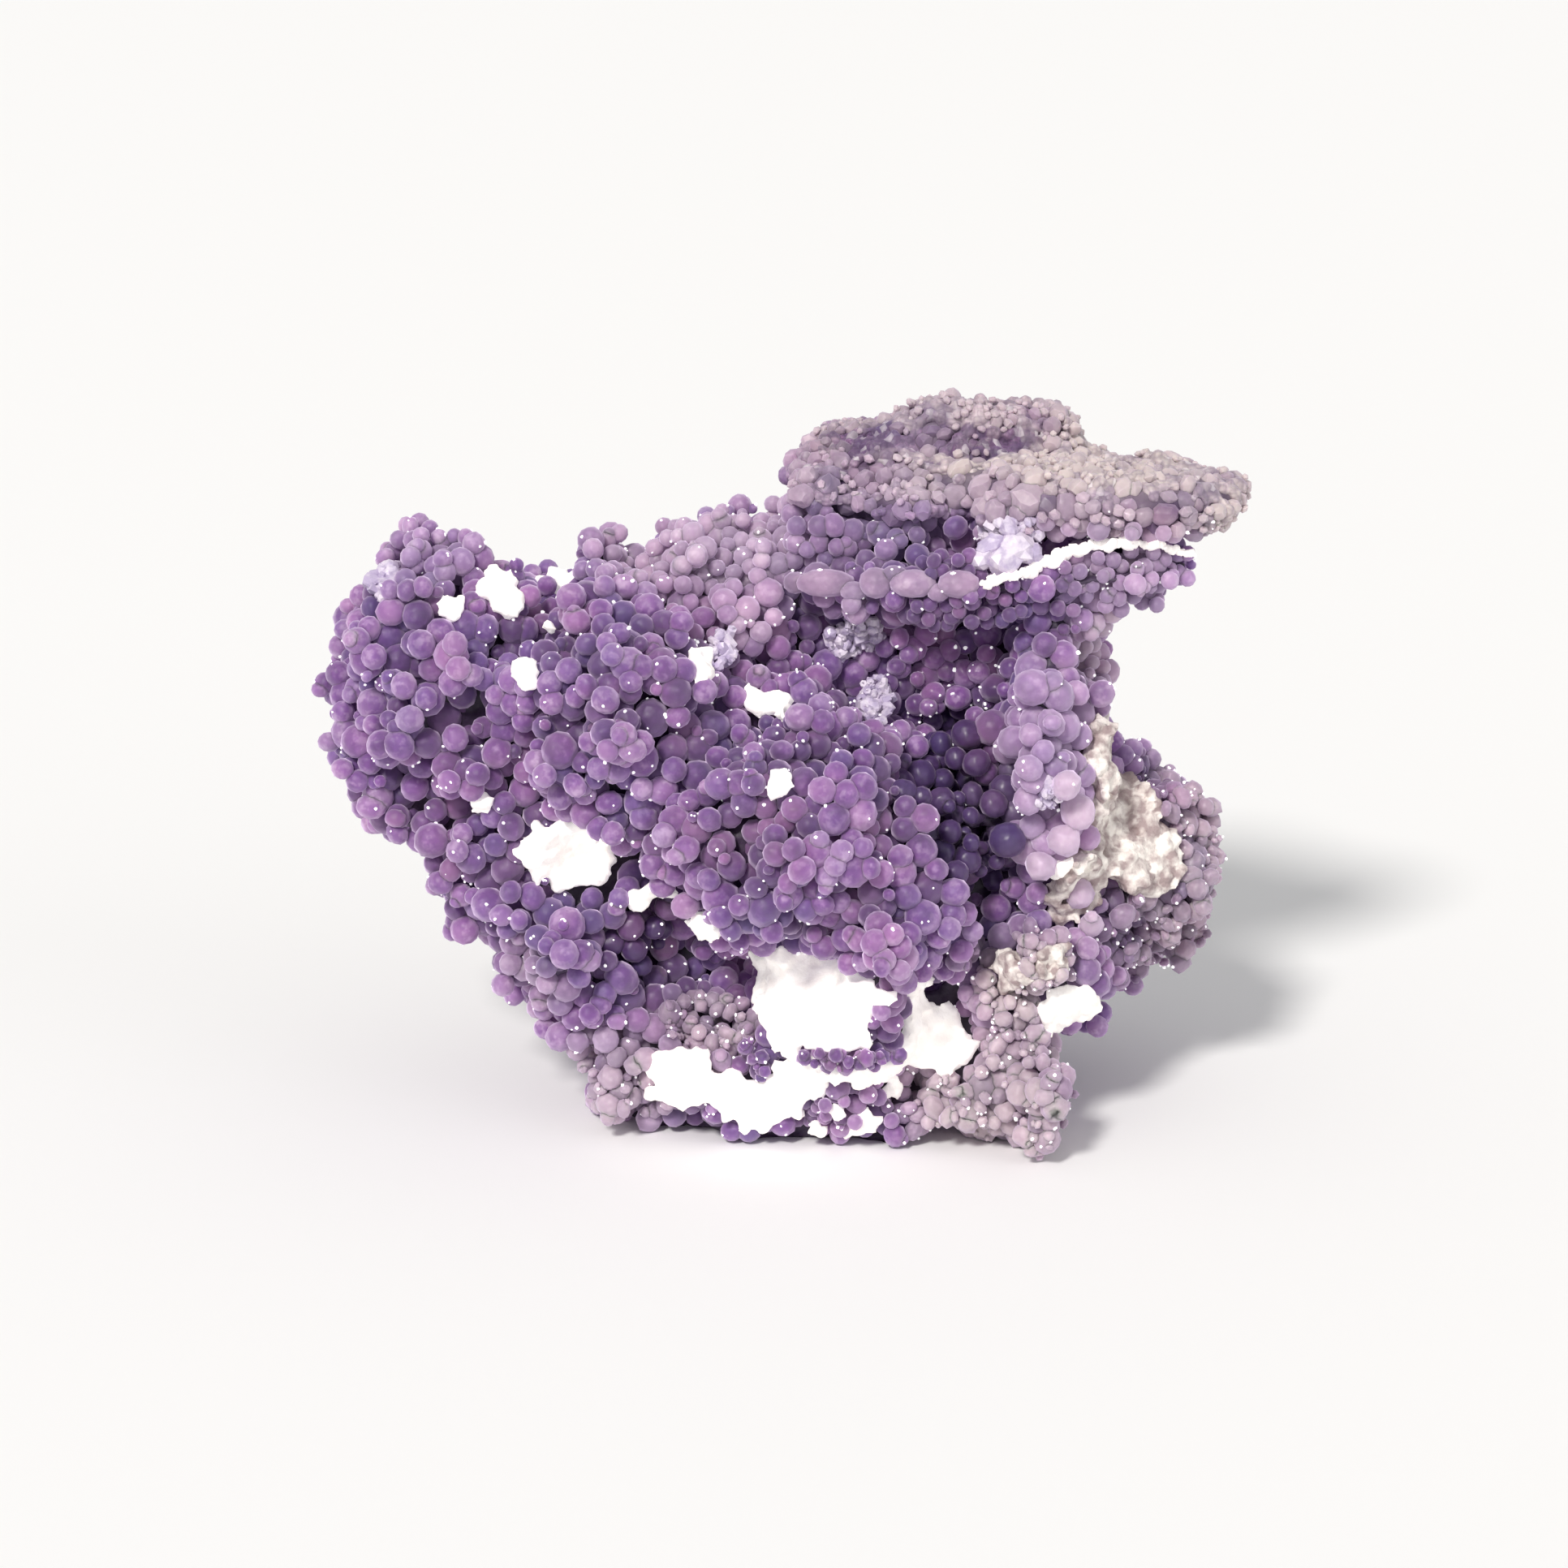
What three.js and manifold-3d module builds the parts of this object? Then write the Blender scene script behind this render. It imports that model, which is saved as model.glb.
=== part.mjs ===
// A hand specimen of purple botryoidal chalcedony: grape-like beads fused over a knobbly mass, with thin
// crusted ledges at the upper right and pale chalky matrix at the foot. It grew as one piece, so it is one
// solid. Millimetres, x to the right, y away from the front, z up, with the origin on the flat underside.

import * as THREE from "three";
import { MarchingCubes } from "three/addons/objects/MarchingCubes.js";
import { mergeVertices } from "three/addons/utils/BufferGeometryUtils.js";
import Module from "manifold-3d";

// Driving dimensions
const BEAD = 4.0; // across one grape of the main crust
const CELL = 3.45; // the size of the facets on the knobbly mass

// Knobs are bunches of grapes, as they read from a step away
const KNOB_RADIUS = [1.0 * BEAD, 1.4 * BEAD];
const KNOB_APART = 2.1 * BEAD;
const KNOB_SUNK = 0.85; // how far a knob's middle lies under the mass's own outline, in its radii
const KNOB_COVER = 0.5; // how much deeper than that a knob may lie in another mass before it is left out
const LOWEST_KNOB = 1; // no knob has its middle lower than this
const HOLLOW = 0.75 * BEAD; // how far the mass between the knobs lies under that outline
const FUSED = 0.8; // how softly neighbouring forms run together
const SEED = 27;

// The crust of the two thick ledges, and the scalloped rim of the thin shelf
const CRUST_RADIUS = [0.7 * BEAD, 0.85 * BEAD];
const CRUST_APART = 1.6 * BEAD;
const CRUST_SUNK = 0.7; // how far a lump's middle lies under the ledge's top, in its radii
const CRUST_PROUD = 0.6; // how far a lump at the rim may stand past the ledge's top and underside
const SCALLOP = 1.6 * BEAD; // from one scallop of the shelf's rim to the next
const SCALLOP_DEPTH = 0.3 * BEAD;
const RIM_STEPS = 4; // points along one scallop

// The masses that give the stone its form: the middle of each and its half sizes. A smooth one has
// no knobs.
const masses = {
  leftShoulder: { at: [-44.5, 2, 52], half: [16.5, 19, 20] },
  leftPeak: { at: [-48.5, 5, 68.5], half: [7, 8, 7.8] },
  leftBunch: { at: [-53.5, -4, 37.8], half: [5, 5, 5.2] },
  leftFlank: { at: [-37, -1, 34], half: [13, 17, 13] },
  middle: { at: [-23, -1, 52], half: [19, 25, 18] },
  crestKnob: { at: [-26.5, 7, 69.7], half: [7, 8, 6] },
  topRim: { at: [-11, 8, 62.3], half: [18, 18, 12] },
  frontBulge: { at: [-2, -9, 40], half: [21, 26, 17] },
  frontChin: { at: [9, -14, 31], half: [13, 21, 11.5] },
  pendant: { at: [10.5, -26, 22], half: [5, 6, 7.5] },
  rightColumn: { at: [28, -8, 46], half: [9, 15, 19] },
  hollowWall: { at: [18, 8, 52], half: [12, 12, 14] },
  topSlope: { at: [8, 6, 68.5], half: [17, 15, 14] },
  ledgeKnob: { at: [23, -6, 73], half: [5, 6, 5.5] },
  underShelf: { at: [32, 0, 64], half: [12, 12, 6] },
  betweenLedges: { at: [36, 3, 71], half: [10, 9, 7], smooth: true },
  rightSpine: { at: [29, 9, 55], half: [9, 15, 21] },
  rightLobe: { at: [38, 6, 29], half: [14, 18, 16] },
  rightHorn: { at: [43, 5, 43], half: [5, 5, 5] },
  greyMatrix: { at: [27, -10, 22], half: [10, 14, 10] },
  rightFoot: { at: [22.5, -10, 9], half: [9.5, 14, 14] },
  footTip: { at: [27.5, -18.5, 5], half: [6, 12.5, 9] },
  leftFoot: { at: [-17.5, -4, 8.5], half: [13, 16, 14.5] },
  lowerLeft: { at: [-27.2, -3, 22.8], half: [13, 18, 13.7] },
  chalkFoot: { at: [2, -2, 6], half: [21, 21, 14] },
  chalkLedge: { at: [3.5, -12, 15.5], half: [14, 18, 11], smooth: true },
  whiteSpur: { at: [32, -6, 14], half: [6, 6, 5.5] },
  heart: { at: [-8, 2, 40], half: [24, 17, 24] },
  rightHeart: { at: [30, 4, 40], half: [11, 13, 16] },
  topLedgeHump: { at: [18, 10, 83.5], half: [12, 7, 7.5], smooth: true },
  backLeft: { at: [-33, 14, 46], half: [17, 17, 19] },
  backHigh: { at: [-8, 18, 58], half: [17, 15, 14] },
  backMiddle: { at: [0, 15, 40], half: [24, 21, 24] },
  backRight: { at: [24, 16, 32], half: [17, 18, 19] },
  backUnderLedge: { at: [16, 13, 66], half: [15, 12, 16] },
  backFoot: { at: [2, 12, 9], half: [24, 19, 16] },
};

// The ledges: an outline seen from above, the heights of the underside and the top at its two ends where
// y is 0, and how much they fall with each mm towards the back. A tip says from which x on a ledge tapers, and
// how much its underside rises and its top drops with each mm
const ledges = {
  upperLedge: {
    outline: [[-1, 6], [7, 2], [16, -1], [22, -7], [31, -10], [43, -9],
      [50, -5], [54, 2], [49, 7], [40, 13], [20, 18], [4, 16]],
    under: [78.5, 72.5],
    over: [81.8, 80],
    falls: 0,
    tip: { from: 45, rises: 0.45, drops: 0.1 },
  },
  topLedge: {
    outline: [[-1, 11], [4, 7], [14, 6], [24, 6], [31, 8], [33, 13], [27, 20], [12, 22], [2, 18]],
    under: [80, 80],
    over: [84.7, 88],
    falls: 0.15,
  },
};
const shelf = {
  outline: [[-2, -5], [6, -10], [18, -13], [24, -12], [34, -11], [44, -7],
    [47, -1], [44, 6], [34, 10], [16, 12], [0, 6]],
  under: [65.5, 68.3],
  over: [68, 70.8],
  falls: 0,
};

const wasm = await Module();
wasm.setup();

// Numbers from 0 to 1 that come out the same at every run
function seededNumbers(seed) {
  let state = seed;
  return () => {
    state = (state * 1664525 + 1013904223) % 4294967296;
    return state / 4294967296;
  };
}
const random = seededNumbers(SEED);
const between = ([low, high]) => low + (high - low) * random();

// A closed geometry with its shared corners merged and only its positions left
function welded(geometry) {
  geometry.deleteAttribute("normal");
  geometry.deleteAttribute("uv");
  return mergeVertices(geometry, 1e-3);
}

// A welded geometry as a solid that can be joined and cut
function solidOf(geometry) {
  return new wasm.Manifold(
    new wasm.Mesh({
      numProp: 3,
      vertProperties: geometry.attributes.position.array,
      triVerts: new Uint32Array(geometry.index.array),
    }),
  );
}

// How far inside a mass a point lies, in mm, and under zero outside it
function insideMass({ at, half }, [x, y, z]) {
  const [u, v, w] = [(x - at[0]) / half[0], (y - at[1]) / half[1], (z - at[2]) / half[2]];
  const level = Math.hypot(u, v, w);
  const slope = Math.hypot(u / half[0], v / half[1], w / half[2]);
  return level < 1e-6 ? Math.min(...half) : (level * (1 - level)) / slope;
}

// Whether a place is closer than a distance to any lump already there
function crowded(lumps, place, apart) {
  return lumps.some(({ at }) => Math.hypot(...place.map((v, axis) => v - at[axis])) < apart);
}

// Knobs spread evenly over the part of each mass that is the stone's outside
function knobsOver(all) {
  const knobs = [];
  const goldenAngle = Math.PI * (3 - Math.sqrt(5));
  for (const mass of all.filter(({ smooth }) => !smooth)) {
    const [a, b, c] = mass.half;
    const others = all.filter((other) => other !== mass);
    const count = Math.round((60 * Math.max(a * b, a * c, b * c)) / (KNOB_APART * KNOB_APART)) + 8;
    for (let i = 0; i < count; i++) {
      const up = 1 - (2 * (i + 0.5)) / count;
      const level = Math.sqrt(1 - up * up);
      const around = i * goldenAngle;
      const radius = Math.min(between(KNOB_RADIUS), 0.75 * Math.min(a, b, c));
      const sunk = KNOB_SUNK * radius;
      const at = [
        mass.at[0] + (a - sunk) * level * Math.cos(around),
        mass.at[1] + (b - sunk) * level * Math.sin(around),
        mass.at[2] + (c - sunk) * up,
      ];
      const buried = others.some((other) => insideMass(other, at) > sunk + KNOB_COVER);
      if (!buried && at[2] > LOWEST_KNOB && !crowded(knobs, at, KNOB_APART)) knobs.push({ at, radius });
    }
  }
  return knobs;
}

// Two depths joined with a soft hollow between them
function fused(a, b) {
  const near = Math.max(FUSED - Math.abs(a - b), 0) / FUSED;
  return Math.max(a, b) + (near * near * FUSED) / 4;
}

// A smooth closed line through an outline's points
function rimOf({ outline }) {
  return new THREE.CatmullRomCurve3(outline.map(([x, y]) => new THREE.Vector3(x, y, 0)), true);
}

// The heights of a ledge's underside and top at one place
function heightsAt({ outline, under, over, falls, tip }, x, y) {
  const ends = outline.map((point) => point[0]);
  const along = THREE.MathUtils.inverseLerp(Math.min(...ends), Math.max(...ends), x);
  const [low, high] = [under, over].map(([left, right]) => THREE.MathUtils.lerp(left, right, along) - falls * y);
  const past = tip ? Math.max(0, x - tip.from) : 0;
  return past > 0 ? [low + tip.rises * past, high - tip.drops * past] : [low, high];
}

// How far inside a closed line of points a place lies, seen from above, and under zero outside it
function insideRim(points, x, y) {
  let nearest = Infinity;
  let inside = false;
  points.forEach((b, i) => {
    const a = points.at(i - 1);
    const [dx, dy] = [b.x - a.x, b.y - a.y];
    const along = THREE.MathUtils.clamp(((x - a.x) * dx + (y - a.y) * dy) / (dx * dx + dy * dy), 0, 1);
    nearest = Math.min(nearest, Math.hypot(x - a.x - along * dx, y - a.y - along * dy));
    if (a.y > y !== b.y > y && x < a.x + (dx * (y - a.y)) / dy) inside = !inside;
  });
  return inside ? nearest : -nearest;
}

// How far inside a ledge a point lies
function insideLedge(ledge, [x, y, z]) {
  const [low, high] = heightsAt(ledge, x, y);
  return Math.min(insideRim(ledge.rim, x, y), z - low, high - z);
}

// Lumps of crust along a ledge's rim and over its top
function crustOf(ledge) {
  const lumps = [];
  const rimWidth = 1.6 * CRUST_RADIUS[0];
  const { min, max } = new THREE.Box2().setFromPoints(ledge.rim);
  for (let x = min.x; x < max.x; x += CRUST_APART / 3) {
    for (let y = min.y; y < max.y; y += CRUST_APART / 3) {
      const [low, high] = heightsAt(ledge, x, y);
      const radius = Math.min(between(CRUST_RADIUS), (high - low) / 2 + CRUST_PROUD);
      const inward = insideRim(ledge.rim, x, y);
      const at = [x, y, inward < rimWidth ? (low + high) / 2 : high - CRUST_SUNK * radius];
      if (inward > rimWidth / 2 && !crowded(lumps, at, CRUST_APART)) lumps.push({ at, radius });
    }
  }
  return lumps;
}

for (const ledge of Object.values(ledges)) ledge.rim = rimOf(ledge).getPoints(36).slice(0, -1);

const all = Object.values(masses);
const knobs = [...knobsOver(all), ...Object.values(ledges).flatMap(crustOf)];

// How far under the knobbly surface a point lies, in mm, and under zero outside it
function depthAt(p) {
  let depth = -1e3;
  for (const mass of all) depth = fused(depth, insideMass(mass, p) - HOLLOW);
  for (const ledge of Object.values(ledges)) depth = fused(depth, insideLedge(ledge, p));
  for (const { at, radius } of knobs) {
    const off = radius - Math.hypot(p[0] - at[0], p[1] - at[1], p[2] - at[2]);
    if (off > depth - FUSED) depth = fused(depth, off);
  }
  return depth;
}

// The knobbly surface as closed facets about one cell across
function knobblySurface() {
  const cells = 46;
  const middle = [-3, 3, 44];
  const half = cells / 2;
  const cubes = new MarchingCubes(cells, new THREE.MeshBasicMaterial(), false, false, 40000);
  cubes.isolation = 0;
  for (let k = 0; k < cells; k++) {
    for (let j = 0; j < cells; j++) {
      for (let i = 0; i < cells; i++) {
        const p = [i, j, k].map((step, axis) => middle[axis] + (step - half) * CELL);
        cubes.field[i + j * cells + k * cells * cells] = depthAt(p);
      }
    }
  }
  cubes.update();
  const geometry = new THREE.BufferGeometry();
  const corners = cubes.positionArray.slice(0, cubes.count * 3);
  geometry.setAttribute("position", new THREE.BufferAttribute(corners, 3));
  geometry.scale(half * CELL, half * CELL, half * CELL);
  geometry.translate(...middle);
  return welded(geometry);
}

// Evens out the facets: each corner drifts to the middle of its neighbours and back onto the surface
function evenOut(geometry, rounds) {
  const { array, count } = geometry.attributes.position;
  const neighbours = Array.from({ length: count }, () => new Set());
  const index = geometry.index.array;
  index.forEach((corner, i) => neighbours[corner].add(index[i % 3 === 2 ? i - 2 : i + 1]));
  for (let round = 0; round < rounds; round++) {
    const before = array.slice();
    for (let i = 0; i < count; i++) {
      const p = [0, 1, 2].map((axis) => {
        const sum = [...neighbours[i]].reduce((total, n) => total + before[n * 3 + axis], 0);
        return (before[i * 3 + axis] + sum / neighbours[i].size) / 2;
      });
      array.set(ontoSurface(p), i * 3);
    }
  }
}

// A point near the knobbly surface, moved straight onto it
function ontoSurface(p) {
  const step = 0.05;
  const depth = depthAt(p);
  const rise = [0, 1, 2].map((axis) => {
    const beside = p.map((v, k) => (k === axis ? v + step : v));
    return (depthAt(beside) - depth) / step;
  });
  const steepness = rise.reduce((total, r) => total + r * r, 0) || 1;
  const move = Math.max(-CELL / 3, Math.min(CELL / 3, depth)) / steepness;
  return p.map((v, k) => v - rise[k] * move);
}

// The thin shelf, as a slab with a scalloped rim
function shelfSlab() {
  const rim = rimOf(shelf);
  const scallops = Math.round(rim.getLength() / SCALLOP);
  const points = rim.getSpacedPoints(scallops * RIM_STEPS).slice(0, -1);
  const middle = points.reduce((sum, p) => sum.add(p), new THREE.Vector3()).divideScalar(points.length);
  const scalloped = points.map((p, i) => {
    const inward = SCALLOP_DEPTH * (1 - Math.sin((Math.PI * (i % RIM_STEPS)) / RIM_STEPS));
    return p.clone().sub(middle).setLength(p.distanceTo(middle) - inward).add(middle);
  });
  const outline = new THREE.Shape(scalloped.map((p) => new THREE.Vector2(p.x, p.y)));
  const geometry = new THREE.ExtrudeGeometry(outline, { depth: 1, bevelEnabled: false });
  const corners = geometry.attributes.position;
  for (let i = 0; i < corners.count; i++) {
    const [low, high] = heightsAt(shelf, corners.getX(i), corners.getY(i));
    corners.setZ(i, low + (high - low) * corners.getZ(i));
  }
  return solidOf(welded(geometry));
}

// Everything under the flat underside is cut off, and crumbs between the facets are dropped
const surface = knobblySurface();
evenOut(surface, 6);
const ground = new THREE.BoxGeometry(300, 300, 60).translate(0, 0, -30);
const pieces = solidOf(surface).add(shelfSlab()).subtract(solidOf(welded(ground))).decompose();
const [stone] = pieces.sort((a, b) => b.volume() - a.volume());

// A solid as a three.js mesh
function meshOf(name, solid, material) {
  const { numProp, vertProperties, triVerts } = solid.getMesh();
  const geometry = new THREE.BufferGeometry();
  const positions = new Float32Array((vertProperties.length / numProp) * 3);
  for (let i = 0; i < positions.length / 3; i++) {
    positions.set(vertProperties.subarray(i * numProp, i * numProp + 3), i * 3);
  }
  geometry.setAttribute("position", new THREE.BufferAttribute(positions, 3));
  geometry.setIndex(new THREE.BufferAttribute(triVerts, 1));
  const mesh = new THREE.Mesh(geometry, material);
  mesh.name = name;
  return mesh;
}

const chalcedony = new THREE.MeshStandardMaterial({ color: 0x8c6a9c, roughness: 0.35, metalness: 0 });
const specimen = new THREE.Group();
specimen.add(meshOf("chalcedony_specimen", stone, chalcedony));

export default specimen;
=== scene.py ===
# %% [markdown]
# # A specimen of botryoidal chalcedony
#
# Grape-like beads of purple chalcedony, grown over one another on a knobbly mass, with two thin ledges at
# the top, a thin shelf below them, and patches of white chalk, cream matrix and pale druse between the beads.
# The CAD solid gives the knobbly mass and the ledges. Everything finer is modelled here, bead by bead.
#
# Lengths are thought of in millimetres and turned into metres where an object is made.

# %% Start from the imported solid
import math

import bpy
import numpy as np
from mathutils import Matrix, Vector, noise
from mathutils.bvhtree import BVHTree
from mathutils.kdtree import KDTree


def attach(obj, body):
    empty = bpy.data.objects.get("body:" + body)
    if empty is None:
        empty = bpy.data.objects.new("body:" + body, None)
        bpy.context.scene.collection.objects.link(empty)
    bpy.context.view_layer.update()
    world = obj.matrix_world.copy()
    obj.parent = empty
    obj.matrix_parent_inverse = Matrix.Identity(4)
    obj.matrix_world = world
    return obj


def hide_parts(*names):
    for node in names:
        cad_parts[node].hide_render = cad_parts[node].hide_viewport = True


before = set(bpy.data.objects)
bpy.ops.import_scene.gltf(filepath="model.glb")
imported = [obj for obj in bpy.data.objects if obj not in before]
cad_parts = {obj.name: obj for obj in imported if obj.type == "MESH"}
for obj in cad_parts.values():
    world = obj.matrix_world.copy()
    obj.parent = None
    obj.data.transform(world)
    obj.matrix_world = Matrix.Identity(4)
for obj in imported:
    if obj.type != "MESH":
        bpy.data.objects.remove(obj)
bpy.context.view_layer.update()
NODE = "chalcedony_specimen"
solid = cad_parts[NODE]
MM = 0.001
chance = np.random.default_rng(7)

# %% [markdown]
# ## The skin that the beads sit on
#
# On the real stone the beads grow on a rough surface that nobody sees. The beads here could be set on the
# CAD solid itself, but its facets would then show through them as flat spots.
# So a copy of the solid is merged, remeshed evenly and eased. This skin is only a guide: it says where the
# surface is, which way it faces and how thick the stone is there. It is taken away at the end.

# %% Picking one object, copying it and applying a modifier
def only(obj):
    """Makes obj the one selected and active object."""
    bpy.ops.object.select_all(action="DESELECT")
    obj.select_set(True)
    bpy.context.view_layer.objects.active = obj
    return obj


def copy_of(obj, name):
    """A free copy of obj, with a mesh of its own."""
    bpy.ops.object.select_all(action="DESELECT")
    new = obj.copy()
    new.data = obj.data.copy()
    new.parent = None
    new.name = name
    bpy.context.scene.collection.objects.link(new)
    return only(new)


def modify(obj, kind, **settings):
    """Adds a modifier, sets it and applies it."""
    only(obj)
    step = obj.modifiers.new("step", kind)
    for name, value in settings.items():
        setattr(step, name, value)
    bpy.ops.object.modifier_apply(modifier=step.name)
    return obj


# %% An even guide skin from a copy of the solid
MERGE_WITHIN = 0.00001
SKIN_STEP = 0.9
skin = copy_of(solid, "guide_skin")
bpy.ops.object.mode_set(mode="EDIT")
bpy.ops.mesh.select_all(action="SELECT")
bpy.ops.mesh.remove_doubles(threshold=MERGE_WITHIN)
bpy.ops.object.mode_set(mode="OBJECT")
modify(skin, "REMESH", mode="VOXEL", voxel_size=SKIN_STEP * MM)
modify(skin, "SMOOTH", factor=0.5, iterations=4)
print("guide skin:", len(skin.data.polygons), "faces")

# %% [markdown]
# ### The skin as rows of numbers
#
# Thousands of beads ask the skin for a place and a direction. Asking Blender for one corner at a time is
# slow, so all the corners, directions and triangles are read at once.

# %% Reading the corners and the outward directions
def corners_of(obj):
    """The mesh's corners in mm, one row each."""
    co = np.zeros(len(obj.data.vertices) * 3, np.float32)
    obj.data.vertices.foreach_get("co", co)
    return co.reshape(-1, 3).astype(float) / MM


def normals_of(obj):
    """The outward direction at each corner."""
    n = np.zeros(len(obj.data.vertices) * 3, np.float32)
    obj.data.vertices.foreach_get("normal", n)
    return n.reshape(-1, 3).astype(float)


skin_at = corners_of(skin)
skin_out = normals_of(skin)
skin.data.calc_loop_triangles()
skin_faces = np.array([t.vertices for t in skin.data.loop_triangles])
print("skin read:", len(skin_at), "corners,", len(skin_faces), "triangles")

# %% How thick the stone is behind each corner
JUST_INSIDE = 0.2
THICK_ENOUGH = 40.0
skin_surface = BVHTree.FromPolygons([tuple(p) for p in skin_at], [tuple(f) for f in skin_faces])


def thickness_at(points, outward):
    """How much stone lies behind each point, in mm: how far a ray runs inwards before it comes out."""
    found = []
    for p, n in zip(points, outward):
        far = skin_surface.ray_cast(Vector(p - n * JUST_INSIDE), Vector(-n))[3]
        found.append(far if far is not None else THICK_ENOUGH)
    return np.array(found)


skin_thick = thickness_at(skin_at, skin_out)
print("thinnest stone:", round(float(np.percentile(skin_thick, 1)), 1), "mm")

# %% [markdown]
# ## Where the stone changes
#
# The stone has many moods: saturated violet in the middle, pinkish on the right column, beige and
# small-beaded along the top rim, grey on the right lobe. The dark in the deep crevice, the hollow, the recess
# and under the ledges is painted shade, nearly black in the crevice.
# Each could be painted by hand, but paint doesn't move with the beads and can't change their size.
# So each mood is a soft ball of influence with a place and a reach in mm, and between them the values blend.

# %% What a plain part of the stone is like
PLAIN = {
    "size": 1.88,  # radius of a bead, mm
    "pale": 0.08,  # how far the colour goes to lilac
    "grey": 0.0,  # how far it goes to warm grey
    "warm": 0.15,  # more for mauve highlights, less for violet ones
    # dark is partly real tone, and painted shade in the crevices, hollows, recess and under the ledges
    "dark": 0.14,  # how deep the colour lies
    "deep": 0.0,  # how far the beads sink, mm
    "gloss": 0.35,  # how wet the surface looks
    "open": 0.5,  # how deep the gaps between the beads are
    "rough": 0.0,  # how many beads are lumps with a crust
    "bunch": 0.9,  # how deep the creases between the bunches are
    "coarse": 1.0,  # size of a grain on the ledges, as a share
}
print("values at each place:", ", ".join(PLAIN))

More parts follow.
